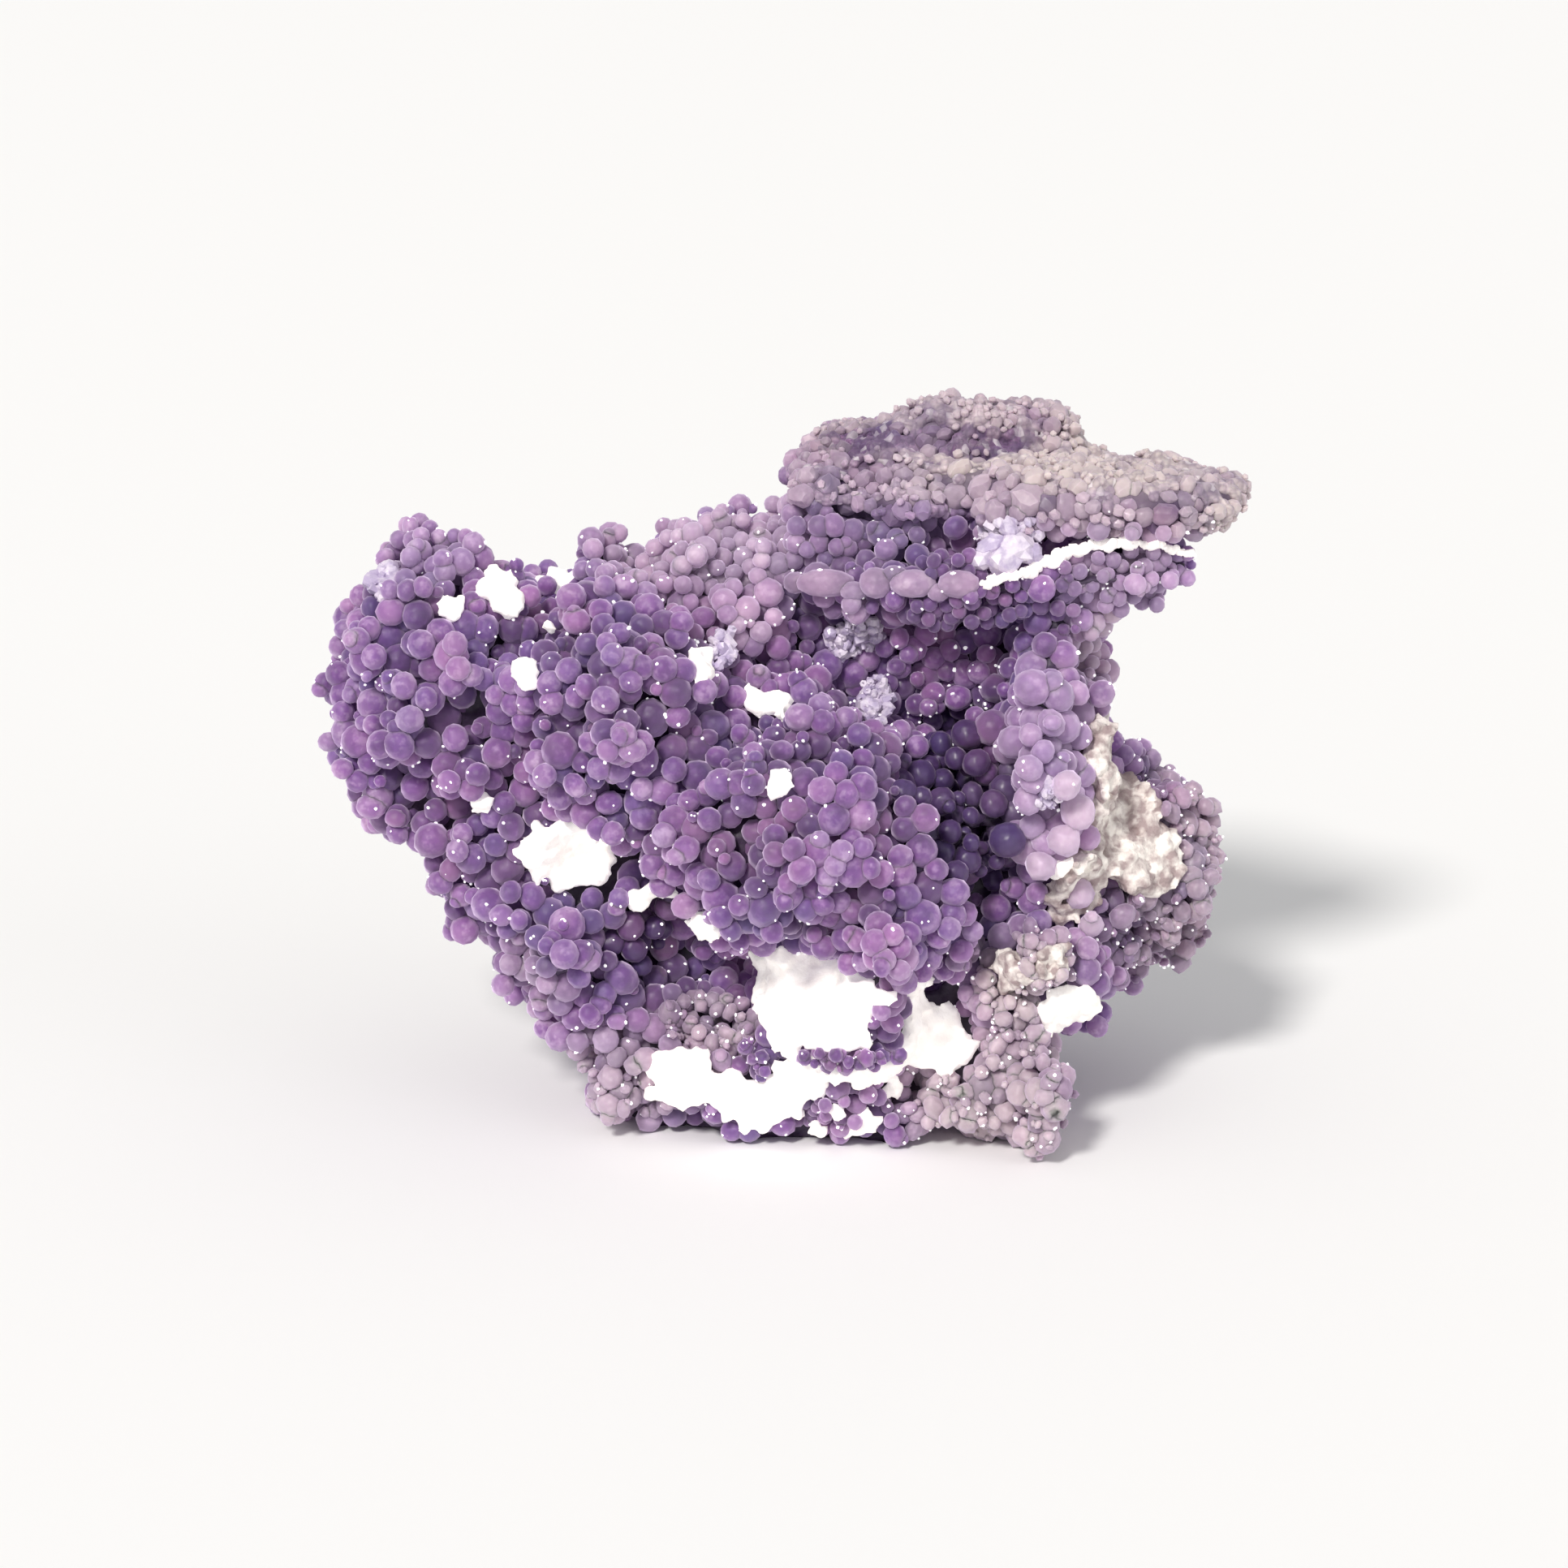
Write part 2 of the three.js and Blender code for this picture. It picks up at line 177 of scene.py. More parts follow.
# %% The places where the values change
PLACES = {
    "left_shoulder": dict(at=(-46, 0, 55), reach=(20, 24, 28), size=1.92, pale=0.05, warm=0.0, dark=0.05),
    "shoulder_top": dict(at=(-48, 1, 72), reach=(12, 14, 8), size=1.4, pale=0.35, warm=0.3, dark=0.05),
    "front_bulge": dict(at=(2, -25, 42), reach=(24, 18, 22), size=1.88, warm=0.3, dark=0.24, bunch=0.75),
    "right_column": dict(at=(29, -18, 47), reach=(13, 14, 21), size=1.98, pale=0.5, warm=0.4, dark=0.0,
                         bunch=0.7),
    "top_rim": dict(at=(-12, 4, 71), reach=(21, 17, 9), size=1.35, pale=0.5, grey=0.25, warm=0.5, dark=0.0,
                    bunch=0.6),
    "below_rim": dict(at=(-3, -12, 64), reach=(13, 10, 7), size=1.55, pale=0.35, grey=0.35, warm=0.1),
    "top_slope": dict(at=(8, -2, 75), reach=(17, 13, 8), size=1.5, pale=0.15, grey=0.12, warm=0.4,
                      dark=0.49, open=1.1),
    # The dark of the hollow and of the crevices is painted shade
    "hollow": dict(at=(18, 0, 54), reach=(10, 13, 13), size=1.7, warm=-0.3, dark=0.4, deep=0.0, gloss=0.95),
    "crevice": dict(at=(18, -10, 40), reach=(8.5, 20, 14), warm=-0.3, dark=1.0, deep=2.0, gloss=0.8,
                    open=1.0),
    "crevice_top": dict(at=(13.5, -17, 46.5), reach=(5.5, 9, 6), warm=-0.2, dark=0.9, deep=1.8, gloss=0.8,
                        open=1.0),
    "behind_column": dict(at=(38, 0, 60), reach=(9, 14, 13), size=1.35, pale=0.2, grey=0.5, warm=-0.2),
    "right_lobe": dict(at=(44, 2, 29), reach=(17, 22, 19), size=1.6, pale=0.1, grey=0.56, warm=-0.3,
                       dark=0.5, gloss=0.7, open=0.9, rough=0.9),
    "right_horn": dict(at=(44, 2, 44), reach=(7, 9, 6), size=1.6, pale=0.15, grey=0.1, warm=0.0),
    "grey_patch": dict(at=(26, -20, 22), reach=(10, 11, 9), size=1.2, pale=0.35, grey=0.75, warm=0.0,
                       dark=0.2, rough=0.9, bunch=0.4),
    "right_foot": dict(at=(22, -20, 7), reach=(15, 18, 13), size=1.6, pale=0.34, grey=0.66, warm=0.4,
                       dark=0.1, rough=0.7),
    # The dark of the left recess is painted shade
    "left_recess": dict(at=(-17, -13, 26), reach=(10, 8, 8), warm=-0.4, dark=0.8, deep=0.7, gloss=0.8),
    "grey_beads": dict(at=(-13, -14, 15), reach=(8, 8, 6), size=1.2, pale=0.4, grey=0.52, warm=0.0,
                       dark=0.2, rough=0.6),
    "left_foot": dict(at=(-23, -12, 7), reach=(12, 16, 9), size=1.45, pale=0.42, grey=0.48, warm=0.0,
                      dark=0.12, rough=0.4),
    "lower_left_edge": dict(at=(-32, -9, 22), reach=(8, 12, 9), size=1.5, pale=0.16, grey=0.38, warm=-0.2,
                            dark=0.18),
    "bottom_front": dict(at=(4, -21, 5), reach=(11, 10, 6), size=1.1, pale=0.1, grey=0.1, warm=0.0,
                         dark=0.35, rough=0.3),
    "crest": dict(at=(-26, 3, 76), reach=(5, 5, 5), size=0.9, pale=0.8, grey=0.6, warm=0.0),
    "ledge_top": dict(at=(28, 3, 82.5), reach=(46, 24, 7), pale=0.3, grey=0.94, warm=0.2, dark=0.1),
    "ledge_rim": dict(at=(36, -10, 75.5), reach=(26, 8, 4.6), coarse=1.7, pale=0.2, grey=0.54, warm=-0.6,
                      dark=0.42, gloss=0.8),
    "ledge_left": dict(at=(3, 2, 79.5), reach=(14, 12, 5), coarse=1.25, pale=0.2, grey=0.42, warm=0.2,
                       dark=0.3),
    "ledge_middle": dict(at=(21, -5, 78.5), reach=(9, 9, 4), coarse=1.9, pale=0.25, grey=0.5, warm=0.1,
                         dark=0.25),
    "ledge_tip": dict(at=(51, -1, 77.5), reach=(9, 15, 7), coarse=0.9, pale=0.2, grey=0.9, warm=0.0,
                      dark=0.25),
    "top_ledge": dict(at=(15, 10, 86), reach=(25, 12, 6), coarse=0.9, pale=0.1, grey=0.7, warm=-0.4,
                      dark=0.42),
    # The dark of the face and the nook under the top ledge's rim is painted shade
    "top_ledge_face": dict(at=(6, 6, 82.9), reach=(11, 5, 2.6), coarse=0.8, pale=0.0, grey=0.62, warm=-0.3,
                           dark=1.4),
    "top_ledge_nook": dict(at=(21, 5.5, 82.6), reach=(8, 5, 2.6), coarse=0.8, pale=0.0, grey=0.62,
                           warm=-0.3, dark=1.4),
    # The dark under the upper ledge is painted shade
    "under_ledge": dict(at=(38, -6, 73.4), reach=(15, 7, 2.6), size=0.8, warm=-0.2, dark=0.7),
    "shelf_right": dict(at=(38, -6, 68), reach=(12, 9, 6), size=2.0, pale=0.5, warm=0.5),
    "back_low": dict(at=(4, 32, 14), reach=(30, 14, 16), size=1.5, pale=0.3, grey=0.45, warm=-0.1,
                     rough=0.4),
}
print("places:", len(PLACES))

# %% The character of each part of the stone
NEAR_HEART = 0.55
LEDGE_START = -3.5
LEDGE_ROOT = -1
LEDGE_UNDERSIDE = 77.8
LEDGE_DROP = 0.107
FAR_BELOW = -50.0


def soft_step(x, low, high):
    """0 below low, 1 above high, an even ease between."""
    t = np.clip((x - low) / (high - low), 0, 1)
    return t * t * (3 - 2 * t)


def cloud(points, size, seed=0.0):
    """Smooth noise, about -1 to 1, at each point in mm. size is the size of one cloud in mm."""
    return np.array([noise.noise(Vector((p[0] / size + seed, p[1] / size, p[2] / size))) for p in points])


def nearness(points, at, reach):
    """0 outside the place, 1 near its heart."""
    d = np.linalg.norm((points - np.array(at)) / np.array(reach), axis=1)
    return soft_step(1 - d, 0.0, NEAR_HEART)


def above_ledge(points):
    """How far above the underside of the upper ledge each point is, in mm. It falls to the right."""
    underside = LEDGE_UNDERSIDE - LEDGE_DROP * (points[:, 0] - LEDGE_ROOT)
    return np.where(points[:, 0] > LEDGE_START, points[:, 2] - underside, FAR_BELOW)


def character(points):
    """The values of PLAIN at each point, changed by the places around it and clouded on the ledges."""
    values = {name: np.full(len(points), float(v)) for name, v in PLAIN.items()}
    for place in PLACES.values():
        w = nearness(points, place["at"], place["reach"])
        for name in values:
            if name in place:
                values[name] += w * (place[name] - values[name])
    ledge = soft_step(above_ledge(points), -1.0, 0.5)
    values["dark"] += 0.8 * cloud(points, 4.4, seed=51.0) * ledge
    values["pale"] += 0.5 * cloud(points, 5.0, seed=61.0) * ledge
    return values


at_front = character(np.array([[2.0, -25.0, 42.0]]))
print("at the front bulge:", {name: round(float(v[0]), 2) for name, v in at_front.items()})

# %% [markdown]
# ## Patches of other growth
#
# White chalk lies in patches between the beads and as a broad ledge low at the front. Cream crumbs of the
# matrix show beside the right column, and pale druse glitters in a few spots.
# A texture could mask them, but each is also a shape of its own, so the skin is sorted by what grows on it.
# Each patch is an ellipsoid in mm: its middle and its reach. A wobble keeps its edge from looking cut out.
# A later patch grows over an earlier one, so beads can come back inside the chalk.

# %% The patches, by kind and in the order that they grow
PATCHES = [
    ("chalk", [
        ((4, -22, 18.5), (12, 11, 6)), ((14, -16, 14), (5, 9, 4)), ((-5, -17, 20.5), (5.5, 9, 3.2)),
        ((7, -23, 11.6), (7, 9, 1.5)), ((9, -21, 8), (4, 9, 1.3)), ((-15.5, -19, 9), (4.6, 8, 4.6)),
        ((-6, -18, 7.5), (5.5, 8, 4.2)), ((-1.5, -21, 11), (2.6, 8, 3.6)), ((2, -20, 3.5), (2.4, 6, 1.8)),
        ((-29.5, -12, 36.3), (5.4, 8, 3.8)), ((-19.5, -15, 31.3), (2.4, 6, 1.3)),
        ((-13.3, -20, 28.8), (2.2, 6, 1.5)), ((-12.7, -14, 60), (1.6, 5, 1.8)),
        ((-4.8, -13, 55.4), (2.5, 5, 1.2)), ((-2.7, -13, 53.8), (1.6, 5, 1.1)),
        ((-3.5, -28.5, 49.9), (1.4, 4, 1.3)), ((-33.7, -17, 60.1), (1.7, 5, 1.8)),
        ((-37.2, -5, 68.7), (2.2, 6, 2.4)), ((-36.2, -7, 66), (1.7, 5, 1.5)),
        ((-42.8, -9, 66), (1.2, 4, 1.3)), ((-31.2, 9, 64.8), (2.6, 7, 1.5)),
        ((-31.5, -5, 64.2), (1.0, 7, 0.8)), ((-40, -13, 42.3), (1.2, 5, 1.1)),
        ((31.7, -17, 17.2), (3.4, 8, 3.4)), ((30.5, -18, 35), (2.0, 5, 2.0)),
    ]),
    ("bead", [
        ((10.6, -25, 18), (3.6, 6, 5.5)), ((4.5, -26, 14.6), (7.5, 7, 1.7)), ((-7, -18, 12.5), (2.4, 8, 4)),
        ((6, -21, 5.4), (6.5, 8, 4.4)),
    ]),
    ("chalk", [
        ((3, -21, 5.8), (1.2, 5, 0.9)), ((7, -20, 4), (1.6, 5, 0.9)), ((5.5, -22, 2), (1.2, 5, 0.8)),
    ]),
    ("crumb", [
        ((37.5, -7, 38.5), (5.5, 8, 7.5)), ((41, -7, 34), (5, 8, 4.5)), ((35.2, -9, 46.5), (2.2, 7, 5)),
        ((33.2, -17, 32), (4, 7, 5)), ((28.6, -22, 25.5), (2.2, 6, 2.2)), ((23.3, -20, 23.5), (1.8, 6, 2.5)),
        ((6, 36, 24), (16, 9, 12)), ((-8, 34, 12), (10, 8, 7)),
    ]),
    ("druse", [
        ((23.2, -7, 73.8), (3.6, 5, 3)), ((5.5, -4, 59.6), (2.6, 7, 2.6)), ((8.3, -8, 54.4), (2, 6, 2.4)),
        ((-10.3, -10, 61.3), (1.5, 5, 2)), ((28, -19, 45.5), (1.5, 5, 1.5)), ((-26.5, 5, 76.5), (3, 5, 2)),
        ((-51.6, -1, 67.7), (1.3, 6, 2)),
    ]),
]
print("patches:", sum(len(places) for name, places in PATCHES))

# %% Sorting the skin by what grows on it
NO_EDGE_NEAR = 9.0


def growth_at(points):
    """The kind of growth at each point: bead, grain on the ledges, or the patch that it lies in. The second
    answer is how far from the patch's edge the point lies, in mm, so that lumps can be small near an edge."""
    kind = np.full(len(points), "bead", dtype=object)
    kind[above_ledge(points) > 0] = "grain"
    inside = np.full(len(points), NO_EDGE_NEAR)
    wobble = 0.22 * cloud(points, 3.0, seed=11.0) + 0.12 * cloud(points, 1.3, seed=5.0)
    for name, places in PATCHES:
        for at, reach in places:
            share = 1 - np.linalg.norm((points - np.array(at)) / np.array(reach), axis=1) - wobble
            within = share * min(reach[0], reach[2])
            here, same = within > 0, kind == name
            if_here = np.where(same, np.maximum(inside, within), within)
            if_not = np.where(same, inside, np.minimum(inside, -within))
            inside = np.where(here, if_here, if_not)
            kind[here] = name
    return kind, inside


skin_kind, skin_inside = growth_at(skin_at)
GROWTHS = ("bead", "grain", "chalk", "crumb", "druse")
print("share of the skin:", {name: round(float((skin_kind == name).mean()), 3) for name in GROWTHS})

# %% [markdown]
# ## Bunches
#
# The beads hang together in bunches about 8 mm across, and between the bunches the stone falls back into
# dark creases. The creases could be sculpted, but a rule does the same work all round the stone:
# the bunches' hearts are spread over the skin at random, and a crease lies where two hearts are equally near.

# %% The bunches' hearts
HEARTS_APART = 7.4
HEART_TRIES = 7000


def index_of(places):
    """A tree that quickly finds which of these places are nearest."""
    index = KDTree(len(places))
    for n, place in enumerate(places):
        index.insert(Vector(place), n)
    index.balance()
    return index


hearts = skin_at[:1]
for p in skin_at[chance.choice(len(skin_at), HEART_TRIES, replace=False)]:
    if np.linalg.norm(hearts - p, axis=1).min() > HEARTS_APART:
        hearts = np.vstack((hearts, p))
heart_index = index_of(hearts)
print("bunches:", len(hearts))

# %% The creases between them
CREASE_EDGE = (0.2, 2.4)


def crease_at(points):
    """1 where two bunches meet, 0 well inside a bunch. Some creases are deeper than others."""
    two_nearest = [heart_index.find_n(Vector(p), 2) for p in points]
    nearer_by = np.array([second[2] - first[2] for first, second in two_nearest])
    how_deep = np.clip(0.75 + 0.9 * cloud(points, 9.0, seed=41.0), 0, 1.2)
    return (1 - soft_step(nearer_by, *CREASE_EDGE)) * how_deep


some_creases = crease_at(skin_at[:1000]) > 0.5
print("share of the first 1000 corners in a crease:", round(float(some_creases.mean()), 2))

# %% [markdown]
# ## The core stone
#
# Behind the beads the stone is lumpy and shows only in the gaps, and its colour there is painted nearly
# black, as the shade in the gaps. A plain dark ball would leave the ledges hollow, so the core is the guide
# skin itself, moved inwards by about a bead's radius, and by less where the stone is thin, so that the ledges
# keep a body. A remesh mends what the move has crossed over.

# %% The core: the skin moved inwards
CORE_DEPTH = 4.4
THIN_SHARE = 0.26
LEDGE_CORE_DEPTH = 0.6
CORE_STEP = 1.0
FOOT = 0.5


def move_corners(obj, places):
    """Puts the mesh's corners at these places, in mm."""
    obj.data.vertices.foreach_set("co", (places * MM).astype(np.float32).ravel())
    obj.data.update()


core = copy_of(skin, "core_stone")
inward = np.minimum(CORE_DEPTH, THIN_SHARE * skin_thick)
inward = np.where(above_ledge(skin_at) > -0.5, np.minimum(inward, LEDGE_CORE_DEPTH), inward)
inward *= 1 + 0.25 * cloud(skin_at, 2.2, seed=3.0)
way = skin_out.copy()
way[:, 2] *= soft_step(skin_at[:, 2], 0.2, 3.0)
core_at = skin_at - way * inward[:, None]
core_at[skin_at[:, 2] < FOOT, 2] = skin_at[skin_at[:, 2] < FOOT, 2]
move_corners(core, core_at)
modify(core, "REMESH", mode="VOXEL", voxel_size=CORE_STEP * MM)
modify(core, "SMOOTH", factor=0.5, iterations=2)
print("core:", len(core.data.polygons), "faces")

# %% The core's flat foot
core_at = corners_of(core)
core_at[:, 2] = np.where(core_at[:, 2] < FOOT, 0.0, core_at[:, 2])
move_corners(core, core_at)
only(core)
bpy.ops.object.shade_smooth()
print("core's box:", core_at.min(0).round(1), core_at.max(0).round(1))

# %% [markdown]
# ## One bead, one grain, one crumb, one crystal
#
# Every repeat starts as one small closed shape that is made once, a few of each so that neighbours differ.
# A bead is a ball of a few dozen faces, a little dented as real ones are. A grain is a smaller, plainer ball.
# A lump and a crumb are balls with their corners shaken, and a spark is the tiniest of them: a small sharp
# point, which on the beads is white and glows a little as a painted glint. A crystal is a six-sided prism
# with a point.
# Metaballs would flow together by themselves, but they swallow small beads and can't be tinted one by one.

# %% A ball with its corners shaken
def ball(detail, shaken, seed):
    """A ball of radius 1, its corners moved at random by up to shaken."""
    bpy.ops.object.select_all(action="DESELECT")
    bpy.ops.mesh.primitive_ico_sphere_add(subdivisions=detail, radius=1.0)
    obj = bpy.context.object
    if shaken:
        bpy.ops.object.mode_set(mode="EDIT")
        bpy.ops.mesh.select_all(action="SELECT")
        bpy.ops.transform.vertex_random(offset=shaken, seed=seed)
        bpy.ops.object.mode_set(mode="OBJECT")
    return obj


# %% A crystal, drawn out of a six-sided prism
def crystal():
    """A six-sided prism along Z with a pointed end, about as tall as wide."""
    bpy.ops.object.select_all(action="DESELECT")
    bpy.ops.mesh.primitive_cone_add(vertices=6, radius1=0.8, radius2=0.75, depth=1.6)
    obj = bpy.context.object
    for face in obj.data.polygons:
        face.select = face.normal.z > 0.9
    bpy.ops.object.mode_set(mode="EDIT")
    bpy.ops.mesh.extrude_region_move(TRANSFORM_OT_translate={"value": (0, 0, 0.7)})
    bpy.ops.transform.resize(value=(0.25, 0.25, 1), center_override=(0, 0, 1.5))
    bpy.ops.object.mode_set(mode="OBJECT")
    return obj


# %% The master shapes
def as_arrays(obj):
    """The corners and triangles of a master, which then leaves the scene."""
    corners = corners_of(obj) * MM
    obj.data.calc_loop_triangles()
    triangles = np.array([t.vertices for t in obj.data.loop_triangles])
    bpy.data.objects.remove(obj)
    return corners, triangles


MASTERS = {
    "bead": [as_arrays(ball(2, shaken, seed)) for seed, shaken in enumerate((0, 0.03, 0.04, 0.05, 0.06))],
    "grain": [as_arrays(ball(1, 0.06, seed)) for seed in (5, 6, 7)],
    "lump": [as_arrays(ball(2, 0.16, seed)) for seed in (12, 13, 14, 15)],
    "crumb": [as_arrays(ball(2, 0.26, seed)) for seed in (8, 9, 10, 11)],
    "spark": [as_arrays(ball(1, 0.25, seed)) for seed in (16, 17, 18)],
    "crystal": [as_arrays(crystal())],
}
print({name: [len(t) for c, t in shapes] for name, shapes in MASTERS.items()}, "triangles each")

# %% [markdown]
# ## Packing the beads
#
# Real beads crowd one another: they touch and fuse but never quite coincide. A particle system can scatter
# balls, but it lets them sit in one another, and a physics run is slow and never twice the same.
# So points are thrown on the skin in a seeded order, and one is kept only if its ball is far enough from
# every ball kept before it. The balls kept so far are filed in cells, so only neighbours are tested.

# %% Throwing points on the skin
corner_a, corner_b, corner_c = (skin_at[skin_faces[:, k]] for k in range(3))
face_area = np.linalg.norm(np.cross(corner_b - corner_a, corner_c - corner_a), axis=1) / 2
face_kind = skin_kind[skin_faces[:, 0]]


def unit(v):
    """Each row at length one."""
    return v / np.maximum(np.linalg.norm(v, axis=-1, keepdims=True), 1e-9)


def thrown(sort, per_mm2):
    """Points where this sort grows: place, outward direction, stone thickness and how far from the edge."""
    pool = np.flatnonzero(face_kind == sort)
    area = face_area[pool]
    count = int(area.sum() * per_mm2)
    faces = pool[chance.choice(len(pool), count, p=area / area.sum())]
    a, b = chance.random(count), chance.random(count)
    flip = a + b > 1
    a[flip], b[flip] = 1 - a[flip], 1 - b[flip]
    share = np.stack((1 - a - b, a, b), 1)[:, :, None]
    corners = skin_faces[faces]
    at = (skin_at[corners] * share).sum(1)
    out = unit((skin_out[corners] * share).sum(1))
    thick = (skin_thick[corners] * share[:, :, 0]).sum(1)
    inside = (skin_inside[corners] * share[:, :, 0]).sum(1)
    return at, out, thick, inside


print("skin area:", round(float(face_area.sum()) / 100), "square cm")

# %% The crowd of balls kept so far
class Crowd:
    """The balls kept so far, filed in cells so that a new one is tested against its neighbours only."""

    def __init__(self, cell):
        self.cell = cell
        self.files = {}
        self.at, self.radius, self.facts = [], [], []

    def near(self, centre):
        """The balls in this cell and in the cells around it."""
        i, j, k = (int(math.floor(v / self.cell)) for v in centre)
        for a in (i - 1, i, i + 1):
            for b in (j - 1, j, j + 1):
                for d in (k - 1, k, k + 1):
                    yield from self.files.get((a, b, d), ())

    def fits(self, centre, radius, apart, but=None):
        """Whether a ball here keeps its share of the two radii from every ball near it but one."""
        for x, y, z, other in self.near(centre):
            gap = apart * (radius + other)
            near = (centre[0] - x) ** 2 + (centre[1] - y) ** 2 + (centre[2] - z) ** 2 < gap * gap
            if near and (x, y, z) != but:
                return False
        return True

    def keep(self, centre, radius, **facts):
        """Files a ball, with what the later steps need to know of it."""
        key = tuple(int(math.floor(v / self.cell)) for v in centre)
        self.files.setdefault(key, []).append((centre[0], centre[1], centre[2], radius))
        self.at.append(tuple(centre))
        self.radius.append(radius)
        self.facts.append(facts)


crowd = Crowd(4.8)
print("cells of", crowd.cell, "mm")

# %% Which master a ball is a copy of
GRAIN_UNDER = 0.6
GRANULE_OVER = 1.0
SPARK_SHARE = 0.7
CRYSTAL_SHARE = 0.3


def master_for(sort, radius, rough, draw, alone):
    """The name of the master shape. draw is a random number from 0 to 1 that this ball was given."""
    if alone:
        return "spark" if draw < SPARK_SHARE else "lump"
    if sort in ("bead", "grain"):
        lumpy = sort == "grain" or draw < rough
        return "grain" if radius < GRAIN_UNDER else "lump" if lumpy else "bead"
    return "crystal" if sort == "druse" and draw < CRYSTAL_SHARE else "crumb"


def kind_for(sort, radius, alone):
    """The kind of growth that a ball is set with: larger grains and those that stand alone are granules."""
    return "granule" if alone or sort == "grain" and radius > GRANULE_OVER else sort


print("a rough bead is a copy of", master_for("bead", 1.5, 0.9, 0.5, False))

# %% Throwing balls and keeping those that fit
# How large a ball may be at the edge of its patch, in mm, and how much larger for each mm inside it
EDGE_ROOM = {"bead": (1.0, 0.8), "chalk": (0.4, 0.5)}
OTHER_EDGE_ROOM = (0.45, 0.8)
STONE_SHARE = 0.42
SMALLEST = 0.3
DEEPEST = -4.6
FOOT_HEIGHT = 0.6
OFF_THE_FLOOR = 0.02
GAP_DEPTH = 3.2
CREASE_DEPTH = 2.6
ROUGH_FROM = 0.4
SHADE_FROM = 0.85
DIP_FROM = -0.15
ROUGH_CLOSER = 0.16
ALONE_LIGHTER = 0.55
ALONE_PALER = 0.3


def sink_at(sort, at, look):
    """How far back the balls lie, in mm: beads fall back into gaps between them and into the creases."""
    if sort != "bead":
        return look["deep"]
    gaps = GAP_DEPTH * np.maximum(cloud(at, 3.2, seed=31.0), 0) * look["open"]
    return look["deep"] + gaps + CREASE_DEPTH * crease_at(at) * look["bunch"]


def throw(sort, per_mm2, size, lift, apart, swell=0.0, only_high=None, only_rough=False, alone=False):
    """Throws points where this sort grows and keeps those whose ball fits.

    size is a share of the local size for beads and mm for the rest, lift how far a tip stands above the skin
    in mm, apart how much of their two radii two balls keep between their centres, swell how far the lift
    follows the swells of the stone, only_high keeps points on the swells alone, and only_rough keeps them on
    the crusted parts alone. Copies thrown alone stand free of the crust, are paler and are never fused."""
    at, out, thick, inside = thrown(sort, per_mm2)
    look = character(at)
    wave = cloud(at, 5.5, seed=21.0)
    sink = sink_at(sort, at, look)
    draw = chance.random(len(at))
    edge_size, growth = EDGE_ROOM.get(sort, OTHER_EDGE_ROOM)
    kept = 0
    for i in range(len(at)):
        if only_high is not None and wave[i] < only_high or only_rough and look["rough"][i] < ROUGH_FROM:
            continue
        if alone and (look["dark"][i] > SHADE_FROM and draw[i] < SPARK_SHARE or wave[i] < DIP_FROM):
            continue
        radius = chance.uniform(*size) * (look["size"][i] if sort == "bead" else look["coarse"][i])
        radius = min(radius, STONE_SHARE * thick[i], edge_size + growth * max(inside[i], 0.0))
        if radius < SMALLEST:
            continue
        up = max(chance.uniform(*lift) + swell * wave[i] - sink[i], DEEPEST)
        centre = at[i] - out[i] * (radius - up)
        if centre[2] < radius + OFF_THE_FLOOR:
            if at[i][2] < FOOT_HEIGHT or centre[2] < radius * 0.2:
                continue
            centre[2] = radius + OFF_THE_FLOOR
        if crowd.fits(centre, radius, apart * (1 - ROUGH_CLOSER * look["rough"][i])):
            facts = {name: float(look[name][i]) for name in look}
            if alone:
                facts.update(dark=facts["dark"] - ALONE_LIGHTER, pale=facts["pale"] + ALONE_PALER)
            kind = kind_for(sort, radius, alone)
            master = master_for(sort, radius, look["rough"][i], draw[i], alone)
            crowd.keep(centre, radius, kind=kind, master=master, up=up, out=out[i], **facts)
            kept += 1
    return kept


# %% Buds on the beads
def buds(count, size, apart):
    """Smaller beads grown on the outer side of beads that are there already."""
    hosts = [i for i, facts in enumerate(crowd.facts) if facts["kind"] in ("bead", "rim")]
    kept = 0
    for i in chance.choice(hosts, count, replace=False):
        way = unit(np.array(crowd.facts[i]["out"]) + 0.7 * chance.normal(size=3))
        radius = crowd.radius[i] * chance.uniform(*size)
        centre = np.array(crowd.at[i]) + way * crowd.radius[i] * chance.uniform(0.6, 0.95)
        if crowd.fits(centre, radius, apart, but=crowd.at[i]) and centre[2] > radius:
            facts = {**crowd.facts[i], "up": crowd.facts[i]["up"] + 0.8, "shape": (1, 1, 1)}
            crowd.keep(centre, radius, **facts)
            kept += 1
    return kept


# %% [markdown]
# ### The balls with a place of their own
#
# Some growths are seen one by one: the long rounded beads on the rim of the shelf, the thin white edge
# above it, the thin violet bands that cross the chalk, the knob of druse under the ledge, the pale beads
# down the right column, the drip at the far left and the beads that hang under the ledge. A rule can't
# guess them, so they are placed one by one, in mm, before the crowd grows around them.

# %% A string of balls, and balls one by one
FACING = np.array((0, -0.8, 0.6))


def string(sort, points, radii, apart, stray, master, taper=False, **values):
    """A row of balls along a line of points. apart is the step in their diameters, stray how far each one may
    lie off the line, in its radii, and taper thins the row towards its ends."""
    points = np.array(points, float)
    step = np.linalg.norm(np.diff(points, axis=0), axis=1)
    run = np.concatenate(([0], np.cumsum(step)))
    along = 0.0
    while along <= run[-1]:
        radius = chance.uniform(*radii)
        if taper:
            radius = radius * (0.6 + 0.4 * math.sin(math.pi * along / max(run[-1], 0.001)))
        centre = np.array([np.interp(along, run, points[:, k]) for k in range(3)])
        centre = centre + chance.normal(size=3) * stray * radius
        facts = {name: float(v) for name, v in {**PLAIN, **values}.items()}
        crowd.keep(centre, radius, kind=sort, master=master, up=0.3, out=FACING, **facts)
        along += apart * 2 * radius


